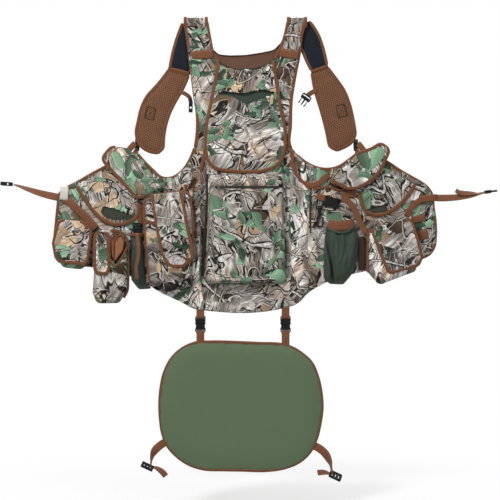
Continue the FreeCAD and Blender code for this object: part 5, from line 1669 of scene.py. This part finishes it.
def bottle_pouch(side, seed, spacing, creases=()):
    """A stretch pouch, open at the top, whose cloth hangs in folds."""
    name = side + "_bottle_pouch"
    poly = outline(name)
    depth = 33.0
    sewn = even(run_of(poly, 1.001, 0.0), 4, closed=False)
    top, low = poly[:, 1].max(), poly[:, 1].min()

    def front(x, z, edge, along):
        seam, _ = edge_info(np.c_[x, z], sewn, closed=False)
        rise = (z - low) / (top - low)
        full = depth * (0.62 + 0.38 * np.sin(np.clip(rise, 0, 1) * math.pi * 0.9))
        full = full * (1 - 0.35 * np.clip((rise - 0.80) / 0.2, 0, 1))
        y = full * dome(seam, 26, 0.62)
        y = y + 4.4 * fade(seam, 8) * waves(x, z, seed, lengths=(9, 26), count=12, angle=84,
                                            spread=0.12)
        y = y + folds(x, z, creases) * fade(seam, 6)
        return np.maximum(y, 5.5 * fade(seam, 4))

    def behind(x, z, edge, along):
        return -np.maximum(front(x, z, edge, along) - 1.8, 0.0)

    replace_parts(pad(name + "_cloth", "green", side + "_wing", poly, POCKET_Y, front, spacing,
                    rings=(2,), back=behind, seed=seed), name)


def link_webs(side, link, tail):
    """The two webbing ends at the top of a wing, turning to their ladder lock."""
    body = side + "_wing"
    sign = SIDES[side]
    web_path(side + "_link_webbing", body, link, width=15, thick=1.6,
             normal=[(0, -1, 0), (0, -1, 0), (-sign * 0.4, -0.9, 0), (-sign * 0.8, -0.5, 0)])
    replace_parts(web_path(side + "_link_tail_webbing", body, tail, width=15, thick=1.6),
                side + "_webbing")


# ------------------------------------------------------------------ left wing pieces
mesh_pocket("left", seed=81, at=(220, 90), turn=-35, span=(6, 0))
pocket("left_upper_pocket", "left_wing", boxy(19.5, roll=12, crown=2.0, amp=0.8, seed=82),
       seed=82, at=(90, 410), turn=-48, cap=(0.8, 4.0), grow=0.03, spacing=5.5, rings=(2, 5, 9))
flap("left_upper_flap", -24.7, seed=83, at=(-330, 150), turn=-48, hinge=(0.999, 2.001))

TALL_FOLDS = [
    (3.0, 7, [(-240, -102.5), (-235, -147.5), (-230, -187.5)]),
    (-3.0, 6, [(-222.5, -162.5), (-210, -197.5), (-185, -217.5)]),
    (3.2, 6, [(-150, -182.5), (-170, -202.5), (-200, -222.5)]),
]
pocket("left_tall_pocket", "left_wing",
       boxy(28.5, roll=9, crown=4.0, amp=1.2, seed=84, lengths=(22, 60), gather=1.0,
            extra=lambda x, z, edge: folds(x, z, TALL_FOLDS) * fade(edge, 10)),
       seed=84, at=(610, -70), turn=12, cap=(1.0, 5.0))
edge_tape("left_tall_pocket_tape", "left_wing", outline("left_tall_pocket"), -21.0, (5.6, 3.2),
          width=9.6, thick=7.0, draw=2.4, spacing=5, seed=84)
tape_path("left_tall_cross_tape", "left_wing", [(-248.75, -57.5), (-240, -62.5), (-227.5, -70)],
          [-31, -34, -35], width=7)
flap("left_tall_flap", -35.7, seed=85, at=(150, -320), turn=6, crown=3.0)

pocket("left_square_pocket", "left_wing", boxy(27.0, roll=10, crown=3.0, amp=1.0, seed=86),
       seed=86, at=(-260, -420), turn=30, cap=(1.0, 4.5))
flap("left_square_flap", -32.7, seed=87, at=(470, 240), turn=35, crown=3.2)

# call pocket, with three divider leaves in its mouth
CALL_FOLDS = [
    (2.6, 6, [(-355, -207.5), (-345, -232.5), (-350, -257.5)]),
    (-2.4, 6, [(-325, -197.5), (-320, -232.5), (-335, -260)]),
]
pocket("call_pocket", "left_wing",
       boxy(30.5, roll=8, crown=3.0, amp=1.0, seed=88, lengths=(18, 46),
            extra=lambda x, z, edge: folds(x, z, CALL_FOLDS) * fade(edge, 8)),
       seed=88, at=(-90, 300), turn=4, cap=(1.0, 4.0), spacing=4.4, rings=(1.5, 3.5, 6),
       hole=outline("call_mouth"))

# Divider leaves: outer depth, indices of the taped points, outline of (x, z)
DIVIDER_Y = -10.0
DIVIDERS = (
    (-34.6, (0, 1, 2),
     [(-338, -104.5), (-327, -91.5), (-311.25, -90.5), (-307.5, -132.5), (-332.5, -156)]),
    (-36.6, (0, 1, 2),
     [(-332.5, -107.5), (-320.25, -93), (-305.5, -96.5), (-305, -132.5), (-329.25, -161)]),
    (-38.6, (4, 0, 1, 2),
     [(-325.75, -111.25), (-308.5, -95.5), (-300.25, -111.25), (-303.5, -134.5),
      (-326.5, -166)]),
)
for i, (leaf_y, taped, pts) in enumerate(DIVIDERS):
    divider = pad(f"call_divider_{i}", "leaf", "left_wing", outline([(*p, 0.5) for p in pts]),
                  DIVIDER_Y, boxy(DIVIDER_Y - leaf_y, roll=1.6, crown=0.9, amp=0.5, seed=90 + i,
                                  lengths=(10, 24), gather=0.3),
                  spacing=2.2, rings=(0.9, 2.0), seed=90 + i)
    tape_path(f"call_divider_edge_{i}", "left_wing", [pts[k] for k in taped], leaf_y - 1.2,
              width=3.0, thick=2.4, step=2.5)
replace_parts(divider, "call_dividers")

tape_path("call_arch_tape", "left_wing",
          [(-334, -85), (-327.5, -83.75), (-317.5, -85.5), (-304, -92), (-295.5, -104),
           (-293, -120), (-292.75, -142.5)], [-37.5, -37.8, -36, -33, -30, -26, -22],
          width=7.0, thick=5.0)
tape_path("call_mouth_tape", "left_wing",
          [(-338.5, -155), (-332.5, -164.5), (-324, -173), (-313.5, -161), (-303.5, -144),
           (-295.5, -126)], [-37.6, -38.0, -38.0, -37, -34, -29], width=5.4, thick=4.2)
tape_path("call_pocket_tape", "left_wing",
          [(-293, -132.5), (-292.25, -162.5), (-292.75, -207.5), (-294.5, -232.5),
           (-303.75, -251.25)], -20.0, width=6.5, thick=6.5)
flap("call_flap", -37.7, seed=94, at=(200, -90), turn=-12, crown=2.4)

bottle_pouch("left", seed=96, spacing=3.6)
tape_path("left_bottle_elastic", "left_wing",
          [(-289.5, -96.5), (-280, -94.75), (-267.5, -94.25), (-256.5, -95.5)],
          [-8, -25, -25, -10], width=8, thick=2.6)
# Webbing: name, width, thickness, path of (x, y, z)
for name, width, thick, pts in (
        ("left_storage_strap", 9.0, 1.6,
         [(-269.5, -39.0, -92.5), (-265.5, -41.5, -122.5), (-266, -42.5, -150),
          (-271, -42.5, -175), (-269, -40.5, -205)]),
        ("left_diag_webbing", 19.5, 1.8,
         [(-456.25, -8.5, -4), (-437.5, -9.5, -16), (-418.75, -10.5, -32.5),
          (-397.5, -11, -52.5), (-373.75, -12, -78.5)]),
        ("left_inner_webbing", 13.5, 1.8,
         [(-266, -6.5, -12.5), (-264, -10.0, -30), (-262.75, -11.0, -50),
          (-263.5, -10.5, -68.75)])):
    web_path(name, "left_wing", pts, width, thick)
link_webs("left",
          link=[(-286, 1.8, 77.5), (-281, 2.2, 97.5), (-276.5, 5.0, 111), (-274, 9.0, 119)],
          tail=[(-302.5, 1.6, 106), (-292.5, 2.0, 118), (-284, 3.6, 128.5), (-277.5, 8.0, 135)])
web_path("left_tab_cloth", "left_wing",
         [(-453, -8.6, 26), (-452.75, -11.6, 11.25), (-455, -9.6, -8)], width=20.5, thick=1.4,
         cloth="tab")

# ------------------------------------------------------------------ right wing pieces
mesh_pocket("right", seed=101, at=(-180, 60), turn=30, span=(5, 0))
pocket("right_upper_pocket", "right_wing", boxy(19.5, roll=12, crown=2.0, amp=0.8, seed=102),
       seed=102, at=(60, -190), turn=38, cap=(0.8, 4.0), grow=0.03, spacing=5.5,
       rings=(2, 5, 9))
flap("right_upper_flap", -24.7, seed=103, at=(-150, 220), turn=35, hinge=(8.001, 9.999))
pocket("right_square_pocket", "right_wing", boxy(27.0, roll=10, crown=4.0, amp=1.2, seed=104),
       seed=104, at=(-60, 150), turn=-25, cap=(1.5, 4.5))
edge_tape("right_square_pocket_tape", "right_wing", outline("right_square_pocket"), -19.0,
          (7, 1), width=8.6, thick=6.0, draw=1.4, seed=104)
flap("right_square_flap", -32.7, seed=105, at=(-330, -80), turn=-28, crown=3.4)
bottle_pouch("right", seed=106, spacing=3.2, creases=[
    (-24.0, 4.6, [(201, -77.5), (207.5, -132.5), (214, -177.5), (218.5, -227.5)]),
    (-3.5, 4.5, [(227.5, -85), (232.5, -117.5), (235, -147.5)]),
    (-3.0, 5, [(260, -90), (250, -122.5), (245, -152.5)]),
    (-4.0, 4, [(220, -227.5), (227.5, -205), (245, -197.5)])])
web_path("right_bottle_elastic", "right_wing",
         [(204.75, -16, -67.5), (213.75, -26, -70.5), (230, -33, -73), (247.5, -32.5, -72),
          (260, -26, -69), (269, -16, -65.5)], width=25, thick=2.2, cloth="binding")

# dark strips of painted shade, standing in for the shadowed gaps between the pieces
tape_path("right_side_shade_strip", "right_wing",
          [(162.25, 22.5), (161.5, -17.5), (161.25, -52.5), (161.5, -90)],
          [-7.6, -6.3, -6.1, -6.4], width=4.0, thick=1.6, cloth="dark_shade_and_thread")
tape_path("left_side_shade_strip", "back",
          [(-96.5, 57.5), (-97.25, 17.5), (-98.25, -17.5), (-100.25, -57.5), (-102.5, -92.5),
           (-104, -112.5)], [-6.8, -7.4, -8.0, -8.8, -9.2, -9.4], width=5.0, thick=2.4,
          cloth="dark_shade_and_thread")
tape_path("left_side_shade_strip_low", "back",
          [(-101.75, -77.5), (-103.5, -107.5), (-105.25, -137.5), (-107, -167.5),
           (-108.5, -195)], [-8.6, -9.4, -9.4, -8.6, -7.8], width=9.5, thick=2.4,
          cloth="dark_shade_and_thread")
tape_path("right_bottle_lip", "right_wing",
          [(201.5, -77.5), (212.5, -84), (230, -89.5), (247.5, -88), (261.25, -81),
           (270.5, -71.5)], [-17, -29, -36.5, -36, -29, -17], width=6.0, thick=5.0,
          cloth="green")
web_path("right_dark_elastic", "right_wing",
         [(287.5, -12.6, -98.75), (289, -14, -132.5), (288, -12.6, -182.5)], width=18, thick=1.8,
         cloth="dark_shade_and_thread", slot="dark_green_cloth")
web_path("right_diag_webbing", "right_wing",
         [(237.5, -9, -5), (253.75, -10.5, -10), (267.5, -11.5, -27.5), (278.75, -12, -50),
          (288.75, -13, -72.5), (301.25, -15, -92.5)], width=14.5, thick=1.8)
web_path("right_patch_webbing", "right_wing", [(238.75, -9.6, 4), (273.75, -10.4, 8)], width=15,
         thick=1.8)
# dark strips of painted shade, standing in for the shadowed gap at the left armhole
tape_path("left_armhole_shade_strip", "left_wing",
          [(-141.5, 19), (-139, 26.5), (-133.5, 36.5), (-126.5, 47)],
          [-12.0, -12.8, -13.4, -13.4], width=8.5, thick=2.2, cloth="dark_shade_and_thread")
tape_path("left_armhole_shade_strip_low", "left_wing", [(-162.5, 15), (-159, 24)], [-9.8, -9.6],
          width=6.0, thick=2.0, cloth="dark_shade_and_thread")
web_path("left_armhole_tab", "left_wing",
         [(-149.25, -10.6, 14.5), (-150, -10.8, 22.5), (-152, -10.4, 31)], width=7, thick=1.6)
tape_path("right_pocket_lip", "right_wing",
          [(166.25, 17.75), (185, 22), (198.5, 24.5), (212.5, 22.5), (227.5, 17.5),
           (245, 13.75), (257.5, 16)], [-12.4, -10.4, -9.6, -9.8, -10.8, -10.4, -9.8],
          width=5.6)
# a dark strip of painted shade, standing in for the shadowed gap beside the right upper pocket
tape_path("right_pocket_shade_strip", "right_wing",
          [(208, 34), (218.5, 28.5), (230, 23.5), (238.75, 19.5)], [-9.2, -9.6, -10.2, -10.2],
          width=6.5, thick=2.0, cloth="dark_shade_and_thread")
# Webbing: name, width, path of (x, y, z)
for name, width, pts in (
        ("right_armhole_webbing", 15,
         [(138.75, -7.0, 38.75), (157.5, -9.5, 29), (180, -10, 32.5), (193.75, -9.5, 46),
          (207.5, -8, 54)]),
        ("right_anchor_webbing", 15,
         [(176.25, -9, 2.5), (186.25, -11.0, -1), (196.5, -12.0, -4)]),
        ("right_belt_root_webbing", 17.5,
         [(433.75, -9.0, -6), (452.5, -9.5, -3.5), (476, -6.5, -1.5)])):
    web_path(name, "right_wing", pts, width, thick=1.8)
# Loops bowed out from the shell: width, path of (x, z)
for i, (width, pts) in enumerate((
        (15, [(400, -48.5), (409, -31), (421.5, -17.5), (435, -7.5)]),
        (17, [(416.5, -57), (431.25, -54), (446.5, -51.5)]),
        (24, [(429, -96.5), (441, -94), (453.5, -91.5)]))):
    bowed = [(x, -8.4 - 1.5 * math.sin(math.pi * k / (len(pts) - 1)), z)
             for k, (x, z) in enumerate(pts)]
    web_path(f"right_shell_loop_{i}", "right_wing", bowed, width, thick=1.8)
link_webs("right",
          link=[(287.5, 1.8, 77.5), (283.5, 2.2, 97.5), (279, 5.0, 111), (277, 9.0, 119)],
          tail=[(303.5, 1.6, 102.5), (295, 2.0, 115), (286.5, 3.6, 127.5), (280, 8.0, 135)])

# ------------------------------------------------------------------ waist straps
# They turn edge-on towards their buckles. The first two normals differ between the sides.
BELT_TURN = [(0, -0.9, 0.7), (0, -0.7, 0.95), (0, -0.4, 1.0), (0, -0.1, 1.0)]
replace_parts(web_path(
    "left_belt_webbing", "left_belt",
    [(-468.75, -4.2, -1), (-490, -4.4, 3.5), (-515, -4.2, 10), (-540, -3.6, 18),
     (-560, -3.0, 25), (-578.75, -2.8, 31)], width=19.0, thick=1.8,
    normal=[(0, -1, 0.25), (0, -1, 0.45)] + BELT_TURN), "left_belt_strap")
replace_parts(web_path(
    "right_belt_webbing", "right_belt",
    [(475.5, -4.2, -2.5), (497.5, -4.5, -2.5), (525, -4.2, -1), (555, -3.6, 2),
     (580, -3.0, 7.5), (597.5, -2.8, 12)], width=18.0, thick=1.8,
    normal=[(0, -1, 0.3), (0, -1, 0.4), (0, -0.9, 0.6), (0, -0.7, 0.9), (0, -0.4, 1.0),
            (0, -0.1, 1.0)]), "right_belt_strap")
web_path("right_belt_tail", "right_belt",
         [(575, -2.4, 9.5), (550, -3.8, 9), (532.5, -4.4, 11), (523.75, -5.0, 17)], width=17.0,
         thick=1.6, normal=[(0, -0.3, 1.0), (0, -0.7, 0.8), (0, -0.8, 0.7), (0, -0.6, 0.9)])

# ------------------------------------------------------------------ shoulder straps
# patch: centre x, z and turn in degrees; outer, inner: taped spans of the strap's upper part
STRAPS = {
    "left": dict(
        seed=201, pad_web_x=-273.25, patch=(-239.5, 210, -14), outer=(4, 0), inner=(1, 3),
        joint=[(-195, 322.75), (-168.75, 316.5), (-140, 308.5)], fold_x=(-154, -97),
        sternum=[(-167.5, 3.0, 263.5), (-153.75, 2.0, 259), (-142, 6.0, 250.5),
                 (-139, 14.6, 240)], sternum_width=10),
    "right": dict(
        seed=211, pad_web_x=275.75, patch=(238.5, 216, 14), outer=(1, 4), inner=(5, 0),
        joint=[(162.5, 314), (183.75, 321), (205, 329)], fold_x=(104, 151),
        sternum=[(176.5, 3.4, 266), (168, 4.4, 263.5), (161.5, 8.0, 260), (154.5, 11.0, 255)],
        sternum_width=12),
}
# Section of the cloth over the shoulder, from the outer side to the inner: (y, z)
SHOULDER_ARC = [(-3.0, 424), (-5.6, 432), (-6.4, 439), (-4.6, 445.0), (0.2, 448.2),
                (6.0, 448.0), (10.4, 443.6), (11.4, 436), (10.2, 424)]


def camo_behind(made):
    """Give the faces that look towards +Y the camouflage cloth."""
    mesh = made.data
    mesh.materials.append(MATERIALS["camo"][0])
    normals = np.zeros(len(mesh.polygons) * 3, np.float32)
    mesh.polygons.foreach_get("normal", normals)
    facing = normals.reshape(-1, 3)[:, 1] > 0.15
    mesh.polygons.foreach_set("material_index", facing.astype(np.int32))


def pad_patch(side, body, centre_x, centre_z, degrees):
    """A stitched rectangle with a cross in it."""
    angle = math.radians(degrees)

    def place(u, v):
        return np.array((centre_x + u * math.cos(angle) - v * math.sin(angle), 2.2,
                         centre_z + u * math.sin(angle) + v * math.cos(angle)))

    corners = [place(u, v) for u, v in ((-11, -15), (11, -15), (11, 15), (-11, 15))]
    path = []
    for here, there in zip(corners, corners[1:] + corners[:1]):
        path += [here, (here + there) / 2]
    sweep(side + "_pad_patch", "dark_shade_and_thread", body, path, (0, -1, 0), width=2.0, thick=1.2,
          closed=True, sides=8)
    for i, (start, end) in enumerate(((0, 2), (1, 3))):
        stitches(side + f"_pad_cross_{i}", body, [corners[start], corners[end]], pitch=4.4,
                 radius=0.6, cloth="dark_shade_and_thread")


def shoulder_fold(side, body, left_x, right_x):
    """Cloth over the top of the shoulder, from the back to the strap, taped on both edges."""
    middle = (left_x + right_x) / 2 / MM_PER_M
    arc = spline([(0, y, z) for y, z in SHOULDER_ARC], 3.0)
    rows, columns = len(arc), 9

    def bend(made):
        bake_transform(made)

    outer = [(left_x + (right_x - left_x) * (j / (columns - 1)),
              y + 0.8 * math.sin(j * 1.7 + i * 0.4), z + 0.5 * math.sin(j * 2.1))
             for i, (_, y, z) in enumerate(arc) for j in range(columns)]
    inner = [(x, 3.0 + (y - 3.0) * 0.62, 434 + (z - 434) * 0.80) for x, y, z in outer]
    shift = len(outer)
    faces = []
    for i in range(rows - 1):
        for j in range(columns - 1):
            k = i * columns + j
            quad = [k, k + 1, k + columns + 1, k + columns]
            faces += [quad, [shift + c for c in quad[::-1]]]
    last = (rows - 1) * columns
    rim = (list(range(columns)) + [i * columns + columns - 1 for i in range(1, rows)]
           + [last + j for j in range(columns - 2, -1, -1)]
           + [i * columns for i in range(rows - 2, 0, -1)])
    for a, b in zip(rim, rim[1:] + rim[:1]):
        faces.append([a, shift + a, shift + b, b])
    verts = np.array(outer + inner)
    made = mesh_object(side + "_shoulder_fold", verts, faces, "camo",
                       fab=np.c_[verts[:, 0], verts[:, 2] - verts[:, 1] * 1.2])
    fix_normals(made)
    bend(made)
    for end, x in (("a", left_x + 2.0), ("b", right_x - 2.0)):
        path = np.array([(x, y if y > 3 else y - 0.2, z) for _, y, z in arc])
        outward = path - (x, 3.0, 432.0)
        outward /= np.linalg.norm(outward, axis=1)[:, None]
        bend(sweep(side + "_shoulder_tape_" + end, "binding", None, path + outward * 0.5,
                   outward, width=7.6, thick=3.4, crown=0.4))


def strap(side, seed, pad_web_x, patch, outer, inner, joint, fold_x, sternum, sternum_width):
    body = side + "_strap"
    sign = SIDES[side]
    poly = outline(body + "_pad")
    made = pad(side + "_pad_mesh", "mesh", body, poly, 8.6,
               soft_swell(5.4, 20, seed, amp=0.7, gather=0.6), seed=seed, turn=20 * sign,
               back=soft_swell(6.8, 20, seed + 2, amp=0.8))
    camo_behind(made)
    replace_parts(made, body + "_pad")
    web_path(side + "_pad_webbing", body,
             [(pad_web_x - sign * 1.5, 9.0, 145), (pad_web_x - sign * 0.5, 11.0, 132.5),
              (pad_web_x, 12.6, 121.5)], width=12.5, cloth="elastic",
             normal=[(0, -1, 0), (-sign * 0.6, -0.8, 0), (-sign * 0.88, -0.47, 0)])
    edge_tape(side + "_pad_tape", body, poly, 8.6, width=8.4, thick=7.4, draw=1.8, seed=seed)
    pad_patch(side, body, *patch)
    upper = outline(body + "_upper")
    made = pad(body + "_upper_cloth", "navy", body, upper, 6.0,
               soft_swell(2.6, 12, seed + 5, amp=0.6, lengths=(20, 50)), seed=seed + 1,
               back=soft_swell(4.0, 12))
    camo_behind(made)
    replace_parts(made, body + "_liner")
    for i, (edge, span) in enumerate((("outer", outer), ("inner", inner))):
        edge_tape(f"{side}_upper_tape_{edge}", body, upper, 6.2, span, width=8.0, thick=6.2,
                  draw=1.8, seed=seed + 1 + i)
    tape_path(side + "_pad_join_tape", body, joint, 4.6, width=7.5, thick=4.0)
    shoulder_fold(side, body, *fold_x)
    web_path(side + "_sternum_webbing", body, sternum, width=sternum_width, thick=1.6)


for side, values in STRAPS.items():
    strap(side, **values)

# ------------------------------------------------------------------ seat
seat = outline("seat")


def seat_half(seed):
    def profile(x, z, edge, along):
        y = 2.0 * dome(edge, 3, 0.6) + 8.2 * dome(edge, 46, 0.75) + 1.6 * dome(edge, 150, 1.0)
        y += pucker(edge, along, seed, amp=0.7, reach=16, pitch=24)
        y += 0.35 * waves(x, z, seed, (60, 160)) * fade(edge, 30)
        return np.maximum(y, 0.1)
    return profile


cushion = pad("seat_cushion", "seat", "seat", inset(seat, 3.0, 6), SEAT_Y, seat_half(300),
              spacing=7, rings=(3, 7, 12), back=seat_half(301), seed=30)
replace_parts(cushion, "seat_cover_front", "seat_cover_back", "seat_foam")
simulate(cushion, pressure=3.0, grow=0.012, cap=(0.6, 3.0), stiff=15.0, bend=1.0,
         held=lambda verts: np.abs(verts[:, 1] - SEAT_Y) < 0.9)
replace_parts(edge_tape("seat_tape", "seat", seat, SEAT_Y, thick=6.4, draw=4.2, seed=31),
            "seat_binding")
stitch_line = inset(seat, 6.6, 5.0, times=3)
stitches("seat_stitch", "seat",
         at_depth(np.vstack([stitch_line, stitch_line[:1]]), SEAT_Y - 3.6))


def loop_normals(way):
    """Normals round a loop that turns down (-1) or up (1)."""
    return [(0, -1, 0)] * 3 + [(0, -1, 0.2 * way), (0, -0.7, 0.7 * way), (0, 0, way),
                               (0, 0.7, 0.7 * way), (0, 1, 0.2 * way)] + [(0, 1, 0)] * 3


# Webbing loops that meet at the seat buckles: side, x, hanger top, edge of the seat
LOOP_TOP = -337.5
for side, x, top, seat_edge in (("left", -114.0, -268.0, -360.5),
                                ("right", 98.8, -262.0, -366.5)):
    path = [(-3.2, top), (-4.4, -283), (-6.3, -295), (-6.2, -300.2), (-4.4, -302.8),
            (-2, -303.6), (0.4, -302.8), (2.2, -300.2), (2.3, -295), (0.4, -283), (-0.6, top)]
    hanger = web_path("hanger_webbing_" + side, None, [(x, y, z) for y, z in path], width=19.6,
                      thick=1.5, step=2.5, normal=loop_normals(-1))
    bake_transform(hanger)
    if side == "left":
        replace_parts(hanger, "seat_hanger_webbing")
    path = [(-4.4, seat_edge - 8), (-4.6, seat_edge), (-5.8, LOOP_TOP - 7),
            (-5.8, LOOP_TOP + 0.4), (-4.3, LOOP_TOP + 3.1), (-2, LOOP_TOP + 3.8),
            (0.3, LOOP_TOP + 3.1), (1.8, LOOP_TOP + 0.4), (1.8, LOOP_TOP - 7),
            (0.6, seat_edge), (0.4, seat_edge - 8)]
    loop = web_path("seat_loop_" + side, "seat", [(x, y, z) for y, z in path], width=19.6,
                    thick=1.5, step=2.5, normal=loop_normals(1))
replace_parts(loop, "seat_webbing")

# Corner webbing: name, width, thickness, path, normals
for name, width, thick, pts, normals in (
        ("corner_webbing_left", 20.0, 1.7,
         [(-200, -2, -611.5), (-213.5, -2.2, -620), (-226, -2.6, -631.5), (-233, -2.6, -645),
          (-236.5, -2.2, -660), (-239, -2.0, -675)],
         [(0, -1, 0), (0, -1, 0), (0.45, -1, 0.2), (0.9, -0.55, 0.2), (1, -0.12, -0.1),
          (1, -0.1, -0.15)]),
        ("corner_tail_left", 15, 1.6,
         [(-236.5, -2.6, -675), (-226, -4.0, -676), (-215, -3.6, -682), (-206.5, -3.0, -689.5),
          (-200.5, -2.8, -697.5)],
         [(0.2, -0.1, 1), (0.2, -0.35, 1), (0.2, -0.8, 0.8), (0.1, -1, 0.4), (0, -1, 0.15)]),
        ("corner_webbing_right", 20.0, 1.7,
         [(169, -2, -621), (182.5, -2.2, -628), (196, -2.6, -639), (206, -2.6, -655),
          (212, -2.4, -672.5), (215, -2.2, -692.5)],
         [(0, -1, 0), (0, -1, 0), (-0.35, -1, 0.2), (-0.8, -0.7, 0.2), (-1, -0.2, 0),
          (-1, -0.12, -0.1)]),
        ("corner_tail_right", 14, 1.6,
         [(213, -2.6, -693), (203.5, -4.0, -689), (193.5, -3.8, -687.5), (185, -3.2, -688),
          (178.5, -2.8, -689)],
         [(-0.2, -0.1, 1), (-0.1, -0.4, 1), (0, -0.8, 0.8), (0, -1, 0.3), (0, -1, 0.0)])):
    corner = web_path(name, "seat", pts, width, thick, normals, step=3.0)
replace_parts(corner, "corner_webbing")

# ------------------------------------------------------------------ hardware
# These pieces of the frame keep their own shape, with softened edges.
for name in ("left_stow_buckle", "right_stow_buckle", "left_belt_buckle", "right_belt_buckle",
             "left_ladder_lock", "right_ladder_lock", "seat_male_buckles",
             "seat_female_buckles", "corner_buckles", "swivel_snap", "zip_slider"):
    is_slider = name == "zip_slider"
    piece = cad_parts[name]
    piece.data.materials.clear()
    piece.data.materials.append(MATERIALS["metal" if is_slider else "plastic"][0])
    bevel = piece.modifiers.new("soft_edges", "BEVEL")
    bevel.width = 0.0004 if is_slider else 0.0007
    bevel.segments = 2
    bevel.limit_method = "ANGLE"
    bevel.angle_limit = math.radians(35)

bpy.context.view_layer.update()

# ------------------------------------------------------------------ stage, in metres
FLOOR_RADIUS = 9.0
FLOOR_Z = -0.78
WHITE = (1.0, 1.0, 1.0, 1.0)
scene = bpy.context.scene


def floor_material():
    """A pale matt floor that fades into white further out."""
    grey = (0.93, 0.93, 0.93)
    graph = Graph("pale_floor")
    links = graph.tree.links
    place = graph.output("TexCoord", "Object")
    mottle = graph.noise(place.scaled(3.0), detail=3.0)
    graph.done(graph.mix(mottle, tint(grey, 0.985), grey), 0.9, spec=0.1)
    x, y, _ = place.split()
    far = graph.math("SQRT", x * x + y * y).step(0.35, 1.15)
    # the glow is at full strength to the camera and weaker as a light
    seen = graph.output("LightPath", "Is Camera Ray")
    glow = graph.node("Emission", WHITE, 0.30 + seen * 0.70)
    blend = graph.node("MixShader", far * 0.5 + 0.5)
    links.new(graph.shader.outputs[0], blend.inputs[1])
    links.new(glow.outputs[0], blend.inputs[2])
    links.new(blend.outputs[0], graph.out.inputs[0])
    return graph.material


def make_floor():
    mesh = bpy.data.meshes.new("floor")
    ring = [(FLOOR_RADIUS * math.cos(i * math.pi / 32), FLOOR_RADIUS * math.sin(i * math.pi / 32),
             FLOOR_Z) for i in range(64)]
    mesh.from_pydata(ring, [], [list(range(64))])
    floor = bpy.data.objects.new("floor", mesh)
    scene.collection.objects.link(floor)
    mesh.materials.append(floor_material())


def make_world(light_strength, seen_strength):
    """White all round, with one strength as a light and another to the camera."""
    world = bpy.data.worlds.new("studio")
    scene.world = world
    world.use_nodes = True
    nodes, links = world.node_tree.nodes, world.node_tree.links
    nodes.clear()
    out = nodes.new("ShaderNodeOutputWorld")
    backgrounds = []
    for strength in (light_strength, seen_strength):
        background = nodes.new("ShaderNodeBackground")
        background.inputs[0].default_value = WHITE
        background.inputs[1].default_value = strength
        backgrounds.append(background)
    ray = nodes.new("ShaderNodeLightPath")
    blend = nodes.new("ShaderNodeMixShader")
    links.new(ray.outputs["Is Camera Ray"], blend.inputs[0])
    for i, background in enumerate(backgrounds):
        links.new(background.outputs[0], blend.inputs[i + 1])
    links.new(blend.outputs[0], out.inputs[0])


def soft_light(name, at, target, size, power):
    light = bpy.data.lights.new(name, "AREA")
    light.shape = "RECTANGLE"
    light.size, light.size_y = size
    light.energy = power
    lamp = bpy.data.objects.new(name, light)
    scene.collection.objects.link(lamp)
    lamp.location = at
    lamp.rotation_euler = (Vector(target) - Vector(at)).to_track_quat("-Z", "Y").to_euler()


def make_camera(lens, sensor, half_view, x, z):
    """A camera looking along +Y, from where half_view fills half the sensor's width."""
    data = bpy.data.cameras.new("camera")
    data.lens = lens
    data.sensor_width = sensor
    data.clip_end = 50
    camera = bpy.data.objects.new("camera", data)
    scene.collection.objects.link(camera)
    distance = half_view / math.tan(math.atan(sensor / 2 / lens))
    camera.location = (x, -distance, z)
    camera.rotation_euler = (math.radians(90), 0, 0)
    scene.camera = camera


make_floor()
make_world(light_strength=0.40, seen_strength=1.0)
soft_light("key", at=(-1.5, -2.3, 1.9), target=(0, 0, -0.05), size=(0.7, 0.7), power=78)
soft_light("fill", at=(1.9, -2.6, 0.6), target=(0, 0, -0.1), size=(1.2, 1.2), power=20)
soft_light("back_key", at=(1.6, 2.4, 2.0), target=(0, 0, -0.05), size=(1.3, 1.3), power=46)
soft_light("top", at=(0.0, -0.3, 2.8), target=(0, 0, 0), size=(1.6, 1.0), power=16)
make_camera(lens=100, sensor=36, half_view=0.625, x=0.010, z=-0.1325)
scene.view_settings.view_transform = "Standard"
scene.view_settings.look = "None"
scene.view_settings.exposure = 0.0
scene.view_settings.gamma = 1.0
